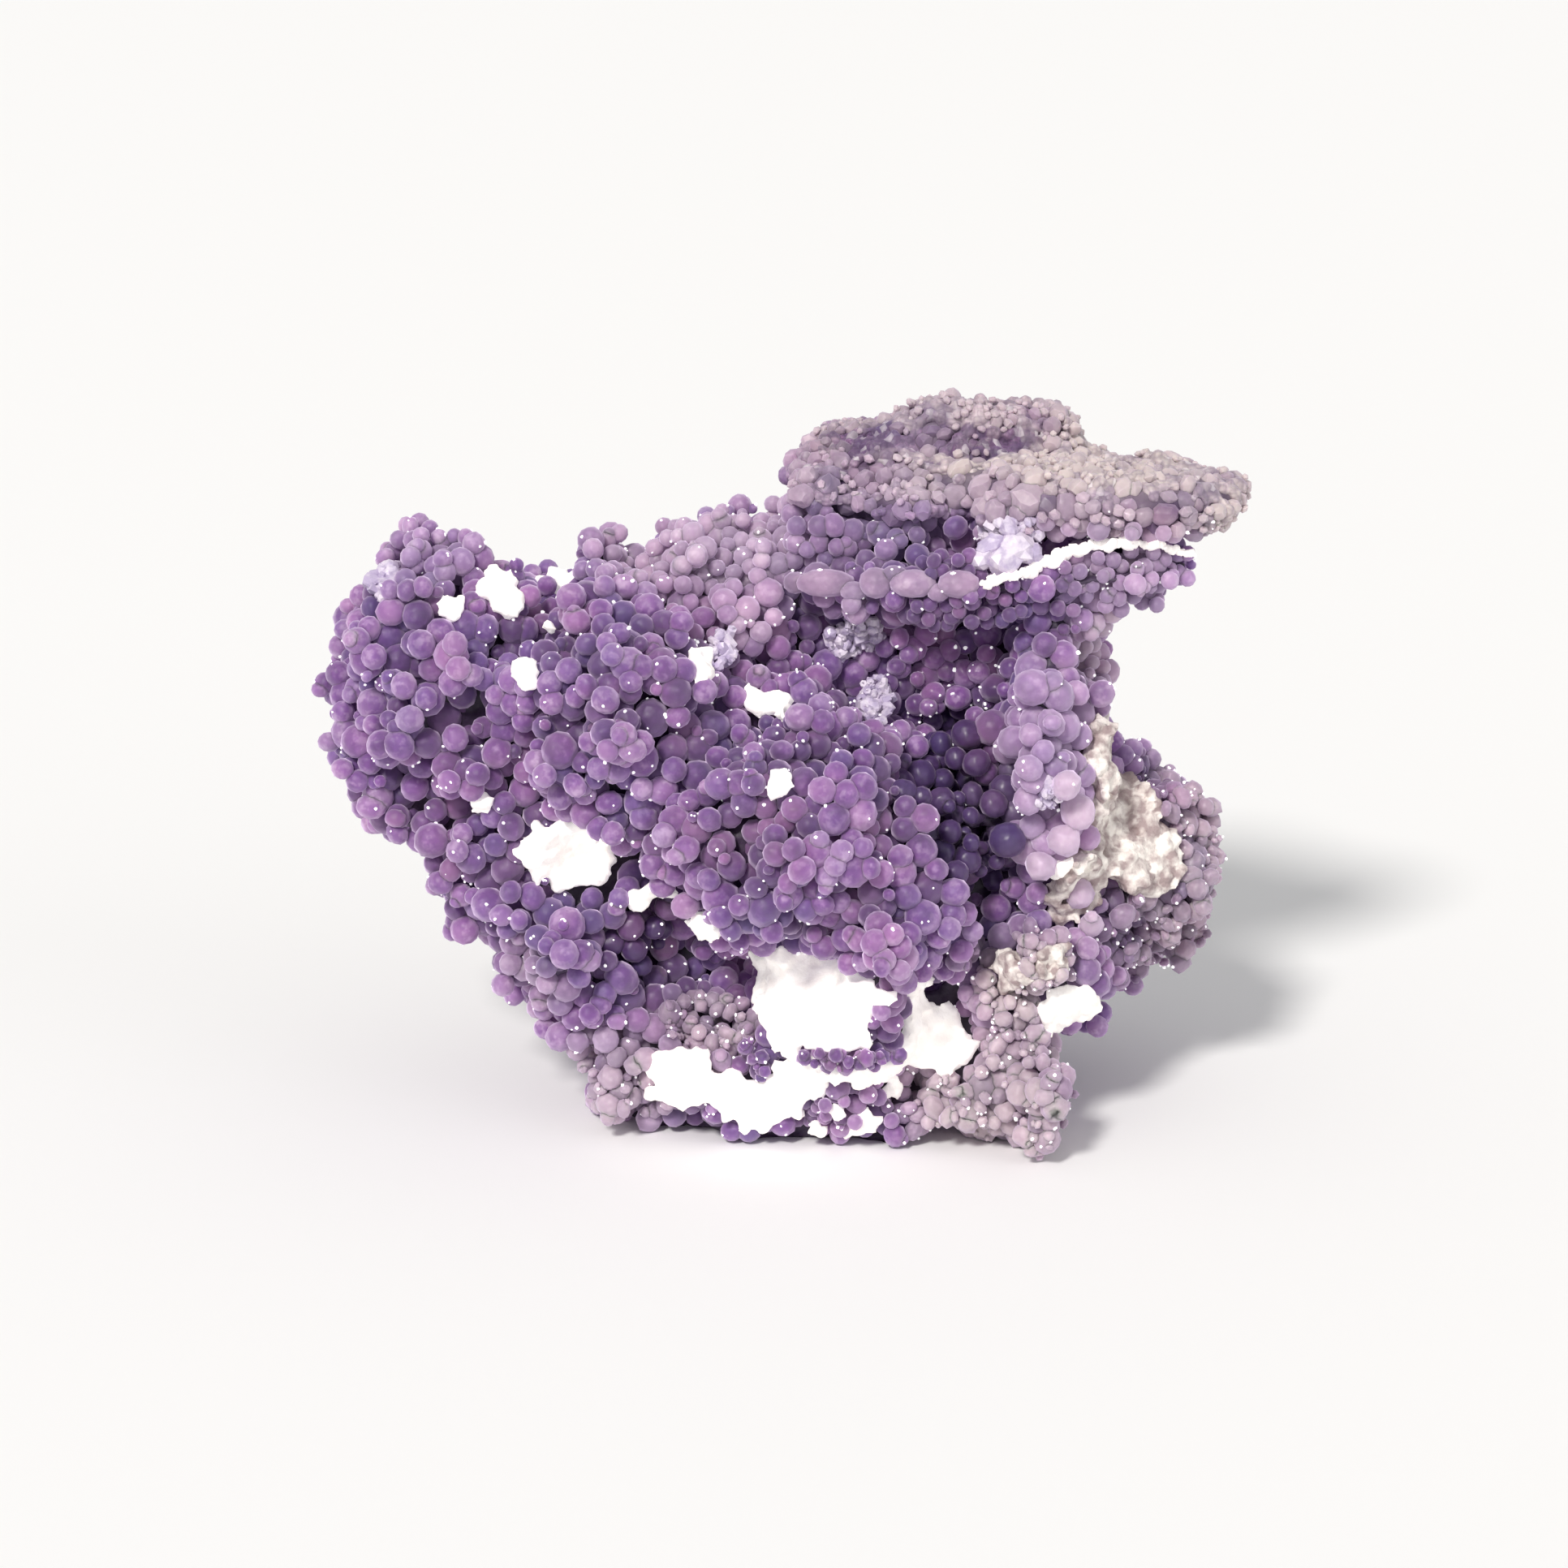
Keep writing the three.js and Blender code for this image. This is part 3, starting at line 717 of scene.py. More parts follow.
def one_by_one(sort, balls, master, **values):
    """Balls at places of their own, each a string of one."""
    for centre, radius in balls:
        string(sort, [centre, centre], radii=(radius, radius), apart=0.6, stray=0.0, master=master, **values)


# %% The rim of the shelf
SHELF_RIM = [
    ((1.6, -7.4, 68.3), 1.8, (1.9, 1, 0.95)), ((-2.0, -5.9, 68), 1.5, (1.1, 1, 1)),
    ((7.6, -9.0, 68.7), 2.0, (1.15, 1, 0.95)), ((12, -10.2, 68.9), 1.9, (1.5, 1, 0.95)),
    ((17.4, -11.4, 69.1), 1.7, (1.6, 1, 1)), ((4.9, -8.6, 67.6), 1.3, (1.2, 1, 1)),
    ((9.8, -9.4, 69.9), 1.1, (1.3, 1, 0.9)), ((15.0, -11, 68.0), 1.2, (1.1, 1, 1)),
]
RIM_LOOK = {**PLAIN, "warm": -0.1, "pale": 0.1, "grey": 0.3, "gloss": 0.4, "dark": 0.42}
UPWARDS = np.array((0, 0, 1))
for centre, radius, shape in SHELF_RIM:
    crowd.keep(centre, radius, kind="rim", master="bead", up=0.4, out=UPWARDS, shape=shape, **RIM_LOOK)
print("beads on the shelf's rim:", len(crowd.at))

# %% The white edge and the violet bands in the chalk
WHITE_EDGE = [
    (20.0, -12.9, 69.7), (22, -12.6, 69.9), (23.8, -12, 70.2), (25.6, -10.4, 70.6), (27.4, -9.2, 71.2),
    (30, -8.4, 72.0), (32.3, -8.0, 72.7), (34.5, -7.8, 73.2), (36.7, -7.6, 73.2), (39.3, -7.0, 73.0),
    (41.6, -6.4, 72.8), (43.4, -6.2, 72), (46.1, -5.8, 71.4),
]
WHITE_EDGE_LEFT = [(14.0, -7.2, 69.9), (16, -7, 70.3), (17.7, -6.8, 70.8), (19.8, -6.4, 71.4)]
VIOLET_BANDS = [
    [(-1.2, -25.4, 14.5), (2, -26.6, 14.9), (4.7, -27, 15.0), (7.5, -26, 14.7), (10.4, -24.2, 14.1)],
    [(0.5, -25.8, 13.6), (4.7, -26, 13.8), (8.5, -25, 13.4)],
    [(-7.4, -18.6, 14.2), (-7, -18.8, 12), (-6.4, -18.8, 9.6)],
]
string("edge", WHITE_EDGE, radii=(0.4, 0.95), apart=0.36, stray=0.28, master="crumb", taper=True)
string("edge", WHITE_EDGE_LEFT, radii=(0.35, 0.65), apart=0.42, stray=0.25, master="crumb", taper=True)
for band in VIOLET_BANDS:
    string("bead", band, radii=(0.35, 1.1), apart=0.4, stray=0.5, master="crumb", dark=0.49, warm=-0.1)
print("with the edge and the bands:", len(crowd.at))

# %% The knob, the pale beads, the drip and the hanging beads
KNOB = [
    ((21.4, -9.4, 73.4), 1.7), ((24.5, -9.8, 73.4), 1.9), ((22.8, -10.6, 71.6), 1.7),
    ((26.2, -9.4, 72.3), 1.4), ((20.3, -9.6, 71.7), 1.3), ((23.4, -9.2, 75.3), 1.3),
]
PALE_BEADS = [
    ((29.9, -22.4, 47.4), 1.9), ((31.6, -18.6, 43.0), 2.4), ((30.0, -19.4, 39.8), 2.1),
    ((27.3, -18.4, 36.2), 1.9), ((32.4, -13.6, 31.2), 1.8), ((33.8, -13.6, 27.2), 1.6),
]
LEFT_DRIP = [
    ((-53.2, 0, 39.4), 1.8), ((-55.2, 0, 38.2), 1.7), ((-54.2, -0.6, 36.4), 1.5), ((-56.2, 0.4, 39.8), 1.3),
    ((-51.8, 0, 37.6), 1.8),
]
HANGING = [
    ((34.1, -8.9, 75.2), 1.4), ((38.2, -9.6, 75.2), 1.2), ((41.8, -9.2, 74.8), 1.1), ((27.8, -8.2, 76), 1.2),
    ((30.6, -8.4, 75.2), 1.0), ((29.2, -6.4, 74.3), 1.3), ((31.9, -6.6, 74.6), 1.2),
    ((34.6, -6.2, 74.4), 1.4), ((37.6, -6.4, 74.6), 1.3), ((40.6, -6.0, 74.2), 1.4),
    ((43.4, -5.6, 73.9), 1.2),
]
one_by_one("druse", KNOB, "crumb")
one_by_one("bead", PALE_BEADS, "lump", warm=-0.1, grey=0.3, pale=0.75, dark=-0.1)
one_by_one("bead", LEFT_DRIP, "bead", warm=0.3, pale=0.12)
one_by_one("bead", HANGING, "bead", warm=0.0, grey=0.35, pale=0.15, dark=0.25)
print("with those set one by one:", len(crowd.at))

# %% [markdown]
# ### The crowd grows
#
# The order matters, because what is there first keeps its place: chalk, crumbs and crystals in their patches,
# then the coarse grains of the ledges and the fine ones between them, then the proud beads and the buds on
# them, and last the beads between and behind, down to those that only show as dark balls in the gaps.

# %% Chalk, crumbs, crystals and the grains of the ledges
# Each throw: the sort, points per square mm, size, lift, apart, and what makes this throw special
print("chalk lumps", throw("chalk", 8, (0.6, 1.9), (-0.7, 0.6), 0.54))
print("crumbs", throw("crumb", 7, (0.5, 1.5), (-1.7, 1.0), 0.64))
print("crystals", throw("druse", 8, (0.6, 1.3), (-0.5, 0.9), 0.55))
print("coarse grains", throw("grain", 1.0, (0.9, 1.4), (-0.2, 1.2), 0.68, swell=1.0))
print("grains", throw("grain", 9, (0.58, 0.95), (-0.6, 0.7), 0.66, swell=0.9))
print("standing grains", throw("grain", 5.0, (0.42, 0.95), (0.2, 1.1), 0.7, alone=True))

# %% Beads, from the proud ones to the sunken ones
# Here size is a share of the local size
print("proud beads", throw("bead", 1.1, (0.74, 1.25), (-0.7, 0.9), 0.72, swell=1.6))
print("buds", buds(600, (0.5, 0.9), 0.6))
print("standing beads", throw("bead", 0.22, (0.7, 1.0), (0.7, 1.7), 0.62, swell=0.6, only_high=0.1))
print("granules", throw("bead", 0.4, (0.28, 0.6), (-0.1, 0.9), 0.66, swell=1.2, only_rough=True))
print("middle beads", throw("bead", 1.4, (0.8, 1.08), (-1.8, -0.3), 0.66, swell=1.3))
print("small beads", throw("bead", 0.07, (0.35, 0.65), (-0.8, 0.5), 0.7, swell=1.2))
print("sunken beads", throw("bead", 1.2, (0.9, 1.1), (-3.4, -1.8), 0.7, swell=0.5))

# %% [markdown]
# ### Painted glint points
#
# Tiny points sit on the beads everywhere, white and a little bright of themselves, as painted glints. A
# sparkle texture would swim as the view turns, so each point is a real one, half sunk in its bead, on a side
# that no neighbour covers.

# %% Painted glint points on the beads
SPARK_TRIES = 3200
SPARK_RADII = (0.12, 0.25)


def carries_sparks(facts):
    """Whether a ball can have a point on it: a bead that isn't sunk, or a grain of a glossy ledge."""
    near_the_top = facts["kind"] in ("bead", "rim") and facts["up"] > -2.6
    return near_the_top or facts["kind"] == "grain" and facts["gloss"] > 0.5


hosts = [i for i, facts in enumerate(crowd.facts) if carries_sparks(facts)]
sparks = []
for i in chance.choice(hosts, SPARK_TRIES):
    way = unit(np.array(crowd.facts[i]["out"]) + 0.7 * chance.normal(size=3))
    centre = np.array(crowd.at[i]) + way * crowd.radius[i]
    if centre[2] > 1.0 and crowd.fits(centre, 0.0, 1.0 - 1e-6):
        facts = {**crowd.facts[i], "kind": "spark", "master": "spark", "out": way}
        sparks.append((centre, chance.uniform(*SPARK_RADII), facts))
for centre, radius, facts in sparks:
    crowd.keep(centre, radius, **facts)
print("sparks", len(sparks), "of", len(crowd.at), "balls in all")

# %% [markdown]
# ## Setting the copies
#
# Each kept ball becomes a copy of a master, with its own size, squash and turn, and all the copies of a
# region are joined in one mesh. Instances would be lighter; these are plain meshes.
# region are joined in one mesh. Instances would be lighter, but a part is handed on as plain meshes.
# Every copy carries the values of its place and a tint of its own, for the materials to read.

# %% Values on a mesh's corners
FACTS = ("proud", "pale", "grey", "warm", "dark", "gloss", "tint")
GRAIN_HEIGHTS = (-0.9, 0.9)
BEAD_HEIGHTS = (-2.2, 1.5)


def write_values(obj, name, values):
    """Gives each corner of obj a value of this name."""
    layer = obj.data.attributes.get(name) or obj.data.attributes.new(name, "FLOAT", "POINT")
    layer.data.foreach_set("value", values.astype(np.float32))


def write_facts(obj, members, owner):
    """Gives each corner the values of the copy that owns it, and each copy a tint of its own."""
    rows = [crowd.facts[m] for m in members]
    each = {fact: np.array([r[fact] for r in rows]) for fact in FACTS if fact not in ("proud", "tint")}
    heights = GRAIN_HEIGHTS if rows[0]["kind"] in ("grain", "granule") else BEAD_HEIGHTS
    # How proud a copy stands: the colour recipe paints proud copies lighter and sunken ones darker, as light
    # and shade
    each["proud"] = soft_step(np.array([r["up"] for r in rows]), *heights)
    each["tint"] = chance.random(len(rows))
    for fact in FACTS:
        write_values(obj, fact, each[fact][owner])


print("values that the materials read:", ", ".join(FACTS))

# %% Setting one group of copies as one mesh
def turn_for(out, lean):
    """A turn that takes Z near the outward direction, with a random lean and spin."""
    tip = Vector(unit(np.array(out) + lean * chance.normal(size=3)))
    spin = Matrix.Rotation(chance.uniform(0, 2 * math.pi), 3, "Z")
    return tip.to_track_quat("Z", "Y").to_matrix() @ spin


def set_copies(name, members, squash=0.1, lean=0.3):
    """One mesh with a copy for each of these members of the crowd."""
    corners, triangles, owner, start = [], [], [], 0
    for n, m in enumerate(members):
        shapes = MASTERS[crowd.facts[m]["master"]]
        shape, faces = shapes[int(chance.integers(len(shapes)))]
        turn = np.array(turn_for(crowd.facts[m]["out"], lean))
        scale = crowd.radius[m] * (1 + chance.uniform(-squash, squash, 3))
        if "shape" in crowd.facts[m]:
            turn, scale = np.eye(3), scale * np.array(crowd.facts[m]["shape"])
        corners.append((shape * scale) @ turn.T + np.array(crowd.at[m]))
        triangles.append(faces + start)
        owner.append(np.full(len(shape), n))
        start += len(shape)
    corners, triangles, owner = np.concatenate(corners), np.concatenate(triangles), np.concatenate(owner)
    corners[:, 2] = np.maximum(corners[:, 2], 0.0)
    mesh = bpy.data.meshes.new(name)
    mesh.from_pydata((corners * MM).tolist(), [], triangles.tolist())
    obj = bpy.data.objects.new(name, mesh)
    bpy.context.scene.collection.objects.link(obj)
    write_facts(obj, members, owner)
    only(obj)
    bpy.ops.object.shade_smooth()
    return obj


# %% Fusing copies that have grown together
def fuse(obj, members, step, rounds):
    """Fuses a mesh's copies with a remesh, eases them and gives each corner the nearest copy's values."""
    modify(obj, "REMESH", mode="VOXEL", voxel_size=step * MM)
    modify(obj, "SMOOTH", factor=0.5, iterations=rounds)
    index = index_of([crowd.at[m] for m in members])
    places = corners_of(obj)
    places[:, 2] = np.maximum(places[:, 2], 0.0)
    move_corners(obj, places)
    radius = [crowd.radius[m] for m in members]
    owner = [min((far - radius[n], n) for _, n, far in index.find_n(Vector(p), 6))[1] for p in places]
    write_facts(obj, members, np.array(owner))
    only(obj)
    bpy.ops.object.shade_smooth()


# %% [markdown]
# ## The beads, region by region
#
# One mesh of all the beads would be past what a single file should hold, so they are set in eight regions.
# The beads deep in the crevices, the crusted ones and the grains of the ledges get meshes of their own,
# because each has a material of its own. Fused beads look like coral, so beads only overlap, as real ones
# do. The fine grains of the ledges are fused, and the larger granules stand on them with hard little faces.

# %% Which ball belongs to which piece
REGIONS = {
    "beads_left": (-46, -6, 52),
    "beads_middle": (-22, -12, 50),
    "beads_front": (3, -26, 40),
    "beads_top": (4, 0, 72),
    "beads_right": (34, -8, 45),
    "beads_feet": (0, -12, 8),
    "beads_back_left": (-28, 26, 44),
    "beads_back_right": (22, 26, 42),
}
middles = np.array(list(REGIONS.values()), float)
crowd_at = np.array(crowd.at)
nearest = np.linalg.norm(crowd_at[:, None, :] - middles[None], axis=2).argmin(1)
kind = np.array([facts["kind"] for facts in crowd.facts], dtype=object)
crusted = np.array([facts["rough"] > 0.3 for facts in crowd.facts])
in_shade = np.array([facts["dark"] > 0.5 for facts in crowd.facts])
beads = kind == "bead"
groups = {
    name: np.flatnonzero(beads & ~crusted & ~in_shade & (nearest == n)) for n, name in enumerate(REGIONS)
}
groups["crusted_beads"] = np.flatnonzero(beads & crusted & ~in_shade)
groups["beads_deep"] = np.flatnonzero(beads & in_shade)
groups["ledge_grains"] = np.flatnonzero(kind == "grain")
groups["ledge_granules"] = np.flatnonzero(kind == "granule")
groups["shelf_rim"] = np.flatnonzero(kind == "rim")
print({name: len(members) for name, members in groups.items()}, "copies")

# %% Beads, grains and granules
EVEN_SQUASH = 0.1
UNEVEN_SQUASH = 0.24
GRAIN_STEP = 0.38
GRANULE_ANGLE = 30
pieces = {}
for name, members in groups.items():
    uneven = name in ("crusted_beads", "ledge_granules")
    pieces[name] = set_copies(name, members, squash=UNEVEN_SQUASH if uneven else EVEN_SQUASH)
    if name == "ledge_grains":
        fuse(pieces[name], members, GRAIN_STEP, 0)
    if name == "ledge_granules":
        bpy.ops.object.shade_smooth_by_angle(angle=math.radians(GRANULE_ANGLE))
    print(name, len(pieces[name].data.polygons), "faces")

# %% [markdown]
# ## Chalk, matrix, druse and painted glint points
#
# Chalk is soft and powdery, so its lumps are fused by a remesh and roughened with fine noise. The crumbs of
# the matrix are fused the same way. The lumps of the white edge, the crystals of the druse and the glint
# points stay apart: an edge sharper than the angle given keeps its faces flat, as on a crystal.

# %% Chalk, matrix, druse and painted glint points
# The last piece holds the points on the beads, which are painted glints
CRUSTS = {
    "white_chalk": ("chalk", 60), "white_edge": ("edge", 60), "cream_matrix": ("crumb", 40),
    "pale_druse": ("druse", 5), "painted_glint_points": ("spark", 5),
}
FUSED_STEP = {"chalk": 0.45, "crumb": 0.4}


def roughen(obj):
    """Moves the surface in and out by fine noise, and keeps it above the floor."""
    places = corners_of(obj)
    waves = 0.22 * cloud(places, 1.1, seed=2.0) + 0.1 * cloud(places, 0.45, seed=8.0)
    places += normals_of(obj) * waves[:, None]
    places[:, 2] = np.maximum(places[:, 2], 0.0)
    move_corners(obj, places)


for name, (sort, angle) in CRUSTS.items():
    members = np.flatnonzero(kind == sort)
    pieces[name] = set_copies(name, members, squash=0.28, lean=0.6)
    if sort in FUSED_STEP:
        fuse(pieces[name], members, FUSED_STEP[sort], 1)
        roughen(pieces[name])
    only(pieces[name])
    bpy.ops.object.shade_smooth_by_angle(angle=math.radians(angle))
    print(name, len(pieces[name].data.polygons), "faces")

# %% [markdown]
# ## The core's own values
#
# The core shows in the gaps, so it reads the same values as the beads around it, and its material paints it
# nearly black there, as painted shade. It is given one more: crust says where it lies in the ledges, which
# are pale all through, and so isn't to be as dark there.

# %% Values for the core, and the skin taken away
core_look = character(corners_of(core))
# Nought proud: the recipe gives the core its darkest colour, as painted shade in the gaps
core_look["proud"] = np.zeros(len(core.data.vertices))
core_look["tint"] = np.full(len(core.data.vertices), 0.5)
for fact in FACTS:
    write_values(core, fact, core_look[fact])
write_values(core, "crust", soft_step(above_ledge(corners_of(core)), -1.0, 0.3))
pieces["core_stone"] = core
bpy.data.objects.remove(skin)


def triangles_of(obj):
    """How many triangles the mesh has."""
    return sum(len(face.vertices) - 2 for face in obj.data.polygons)


print("triangles in all:", sum(triangles_of(obj) for obj in pieces.values()))

# %% [markdown]
# ## Materials
#
# All the chalcedony is one mineral in many shades, so one colour recipe serves it all. It is a node group
# that reads the values that each bead carries, and from them it also paints light and shade: lighter on the
# proud beads, darker on the sunken ones and in the crevices. No texture is painted and no picture is used, so
# the finish has the same detail from every side. First come two helpers: colours, and adding nodes by name.

# %% Colours
def linear(r, g, b):
    """A colour as seen on a screen, 0 to 255, as the linear values that a shader wants."""
    c = np.array((r, g, b)) / 255
    c = np.where(c <= 0.04045, c / 12.92, ((c + 0.055) / 1.055) ** 2.4)
    return (*c.tolist(), 1.0)


INDIGO = linear(66, 18, 90)
VIOLET = linear(110, 53, 134)
MAUVE = linear(160, 127, 164)
LILAC = linear(206, 184, 208)
STONE_GREY = linear(208, 196, 191)
BLUER = linear(88, 78, 150)
PINKER = linear(174, 118, 162)
PALE_BLOOM = linear(236, 216, 246)
SHADE_INDIGO = linear(62, 54, 92)
CORE_SHADE = linear(34, 18, 50)
GRAIN_GLINT_WHITE = linear(244, 238, 240)
GRAIN_GAP_SHADE = linear(98, 82, 110)
WHITE = (1.0, 1.0, 1.0, 1.0)
print("violet, as the shader takes it:", [round(v, 3) for v in VIOLET])

# %% Adding nodes
class Nodes:
    """Adds nodes to a tree and links or sets their sockets."""

    def __init__(self, tree):
        self.tree = tree

    def feed(self, socket, value):
        """Links a socket to another, or sets it to a plain value."""
        if isinstance(value, bpy.types.NodeSocket):
            self.tree.links.new(value, socket)
        else:
            socket.default_value = value

    def add(self, kind, inputs=None, **settings):
        """A node of this kind, with its inputs fed and its settings made."""
        node = self.tree.nodes.new(kind)
        for name, value in settings.items():
            setattr(node, name, value)
        for key, value in (inputs or {}).items():
            self.feed(node.inputs[key], value)
        return node

    def mix(self, share, a, b):
        """Colour a turned to b by share."""
        node = self.add("ShaderNodeMix", data_type="RGBA")
        for place, value in ((0, share), (6, a), (7, b)):
            self.feed(node.inputs[place], value)
        return node.outputs[2]

    def calc(self, operation, *values):
        """One step of arithmetic."""
        return self.add("ShaderNodeMath", dict(enumerate(values)), operation=operation).outputs[0]

    def ramp(self, value, low, high, to_low=0.0, to_high=1.0):
        """value from low to high, taken evenly to to_low and to_high."""
        return self.add("ShaderNodeMapRange", {0: value, 1: low, 2: high, 3: to_low, 4: to_high}).outputs[0]

    def noise(self, where, scale, detail, **inputs):
        """Cloudy noise, 0 to 1, with scale clouds to a metre."""
        sockets = {"Vector": where, "Scale": scale, "Detail": detail, **inputs}
        return self.add("ShaderNodeTexNoise", sockets).outputs["Fac"]

    def bump(self, height, strength, height_mm, over=None):
        """A direction bent by a height, as if it stood up to height_mm high, over another bump or none."""
        sockets = {"Height": height, "Strength": strength, "Distance": height_mm * MM}
        if over is not None:
            sockets["Normal"] = over
        return self.add("ShaderNodeBump", sockets).outputs["Normal"]


def new_group(name, inputs, outputs):
    """An empty node group with these sockets: its nodes, the group's inputs and its output node."""
    tree = bpy.data.node_groups.new(name, "ShaderNodeTree")
    for in_out, sockets in (("INPUT", inputs), ("OUTPUT", outputs)):
        for title, sort in sockets:
            tree.interface.new_socket(title, in_out=in_out, socket_type="NodeSocket" + sort)
    n = Nodes(tree)
    return n, n.add("NodeGroupInput").outputs, n.add("NodeGroupOutput")


# %% [markdown]
# ### The colour recipe
#
# A real bead is clear violet glass over a darker heart, with milky clouds in it. Layers of glass could be
# modelled, but they render slowly and export badly. The recipe builds the look from light: how proud the bead
# is and how dark its place, which paint light on proud beads and shade on sunken ones and in the crevices,
# then its own tint and three sizes of cloud. From light it picks indigo, violet or mauve, so the mauve of the
# lightest beads is partly a painted highlight, then drifts some beads to blue or pink.

# %% The colour recipe, as a node group
def chalcedony_colour():
    """The colour recipe: values of a bead in, colour, roughness and a fine grain out."""
    n, given, result = new_group(
        "chalcedony_colour",
        [(fact.capitalize(), "Float") for fact in FACTS],
        [("Color", "Color"), ("Roughness", "Float"), ("Grain", "Float")])
    where = n.add("ShaderNodeTexCoord").outputs["Object"]
    mist = n.noise(where, 330.0, 3.0)
    frost = n.noise(where, 3200.0, 2.0)
    tide = n.noise(where, 75.0, 1.0)
    milk = n.noise(where, 760.0, 2.0, Roughness=0.6)
    drift = n.noise(where, 95.0, 1.0)
    # How light the bead is: its height and the dark of its place, as painted light and shade, then its own
    # tint, a tide over the stone, and mist inside it
    light = n.calc("SUBTRACT", given["Proud"], given["Dark"])
    light = n.calc("ADD", light, n.ramp(given["Tint"], 0.0, 1.0, -0.24, 0.26))
    light = n.calc("ADD", light, n.ramp(tide, 0.33, 0.67, -0.24, 0.2))
    light = n.calc("ADD", light, n.ramp(mist, 0.3, 0.7, -0.38, 0.3))
    # The body's colour by that light, with milky clouds near the top, where the painted light is
    body = n.mix(n.ramp(light, 0.0, 0.7), INDIGO, VIOLET)
    warmth = n.ramp(given["Warm"], -0.4, 0.5, 0.35, 1.0)
    # The lightest beads turn mauve, partly as a painted highlight
    body = n.mix(n.calc("MULTIPLY", n.ramp(light, 0.55, 1.15), warmth), body, MAUVE)
    milky = n.calc("MULTIPLY", n.ramp(milk, 0.5, 0.64, 0.0, 0.42), n.ramp(light, 0.1, 1.0))
    body = n.mix(milky, body, LILAC)
    # Some beads drift to blue and some to pink, then the place turns all of them pale or grey
    second_tint = n.calc("FRACT", n.calc("MULTIPLY", given["Tint"], 13.7))
    hue = n.calc("ADD", n.ramp(second_tint, 0.0, 1.0, -0.5, 0.5), n.ramp(drift, 0.35, 0.65, -0.5, 0.5))
    body = n.mix(n.ramp(hue, -0.1, -0.9, 0.0, 0.34), body, BLUER)
    body = n.mix(n.ramp(hue, 0.1, 0.9, 0.0, 0.36), body, PINKER)
    body = n.mix(n.calc("MULTIPLY", given["Pale"], 0.75), body, LILAC)
    greyness = n.calc("MULTIPLY", given["Grey"], n.ramp(light, -0.6, 0.6, 0.15, 0.98))
    body = n.mix(greyness, body, STONE_GREY)
    value = n.ramp(second_tint, 0.0, 1.0, 0.89, 1.06)
    body = n.add("ShaderNodeHueSaturation", {"Color": body, "Value": value}).outputs[0]
    # The surface, from frosted to wet
    rough = n.ramp(given["Gloss"], 0.0, 1.0, 0.62, 0.34)
    rough = n.calc("ADD", rough, n.ramp(frost, 0.3, 0.7, -0.08, 0.08))
    n.feed(result.inputs["Color"], body)
    n.feed(result.inputs["Roughness"], rough)
    n.feed(result.inputs["Grain"], frost)
    return n.tree


COLOUR = chalcedony_colour()
print("colour recipe:", len(COLOUR.nodes), "nodes")

# %% [markdown]
# ### The sugar of the ledges
#
# The ledges are covered with sugary grains, down to a tenth of a millimetre. The large ones are meshes. The
# finest are too many for that, so a cell pattern breaks the colour up grain by grain and dents the surface.
# It also darkens the borders between the grains, as painted shade, and turns some grains white, as painted
# glints.

# %% The sugar, as a node group
def sugar_grain():
    """A crust of sugary grains: a colour in, the same colour broken up grain by grain out, with a height."""
    n, given, result = new_group(
        "sugar_grain", [("Color", "Color")], [("Color", "Color"), ("Height", "Float")])
    where = n.add("ShaderNodeTexCoord").outputs["Object"]
    grains = n.add("ShaderNodeTexVoronoi", {"Vector": where, "Scale": 1050.0})
    away = grains.outputs["Distance"]
    own = n.add("ShaderNodeSeparateColor", {"Color": grains.outputs["Color"]})
    value = n.ramp(own.outputs[0], 0.0, 1.0, 0.86, 1.14)
    body = n.add("ShaderNodeHueSaturation", {"Color": given["Color"], "Value": value}).outputs[0]
    # Some grains turn white: painted glints
    body = n.mix(n.ramp(own.outputs[1], 0.86, 1.0, 0.0, 0.5), body, GRAIN_GLINT_WHITE)
    # The borders between the grains darken: painted shade between them
    body = n.mix(n.ramp(away, 0.35, 0.8, 0.0, 0.38), body, GRAIN_GAP_SHADE)
    n.feed(result.inputs["Color"], body)
    n.feed(result.inputs["Height"], n.ramp(away, 0.0, 0.8, 1.0, 0.0))
    return n.tree


SUGAR = sugar_grain()
print("sugar:", len(SUGAR.nodes), "nodes")

# %% [markdown]
# ### The chalcedony itself
#
# Under the colour lies the surface: frosty like a grape with its bloom, and slightly translucent. Sheen gives
# the bloom its pale rim, and light that scatters a millimetre or two inside gives the soft shade. The violet
# beads have a very small glow of their own colour, for the light that real ones pass on to one another.

# %% Chalcedony, in all its finishes
def new_material(name):
    """A material and its nodes: the material, a helper for its nodes, and its main shader."""
    mat = bpy.data.materials.new(name)
    mat.use_nodes = True
    return mat, Nodes(mat.node_tree), mat.node_tree.nodes["Principled BSDF"]


def set_sockets(shader, values):
    """Sets sockets of a shader to values that are the same all over."""
    for name, value in values.items():
        shader.inputs[name].default_value = value


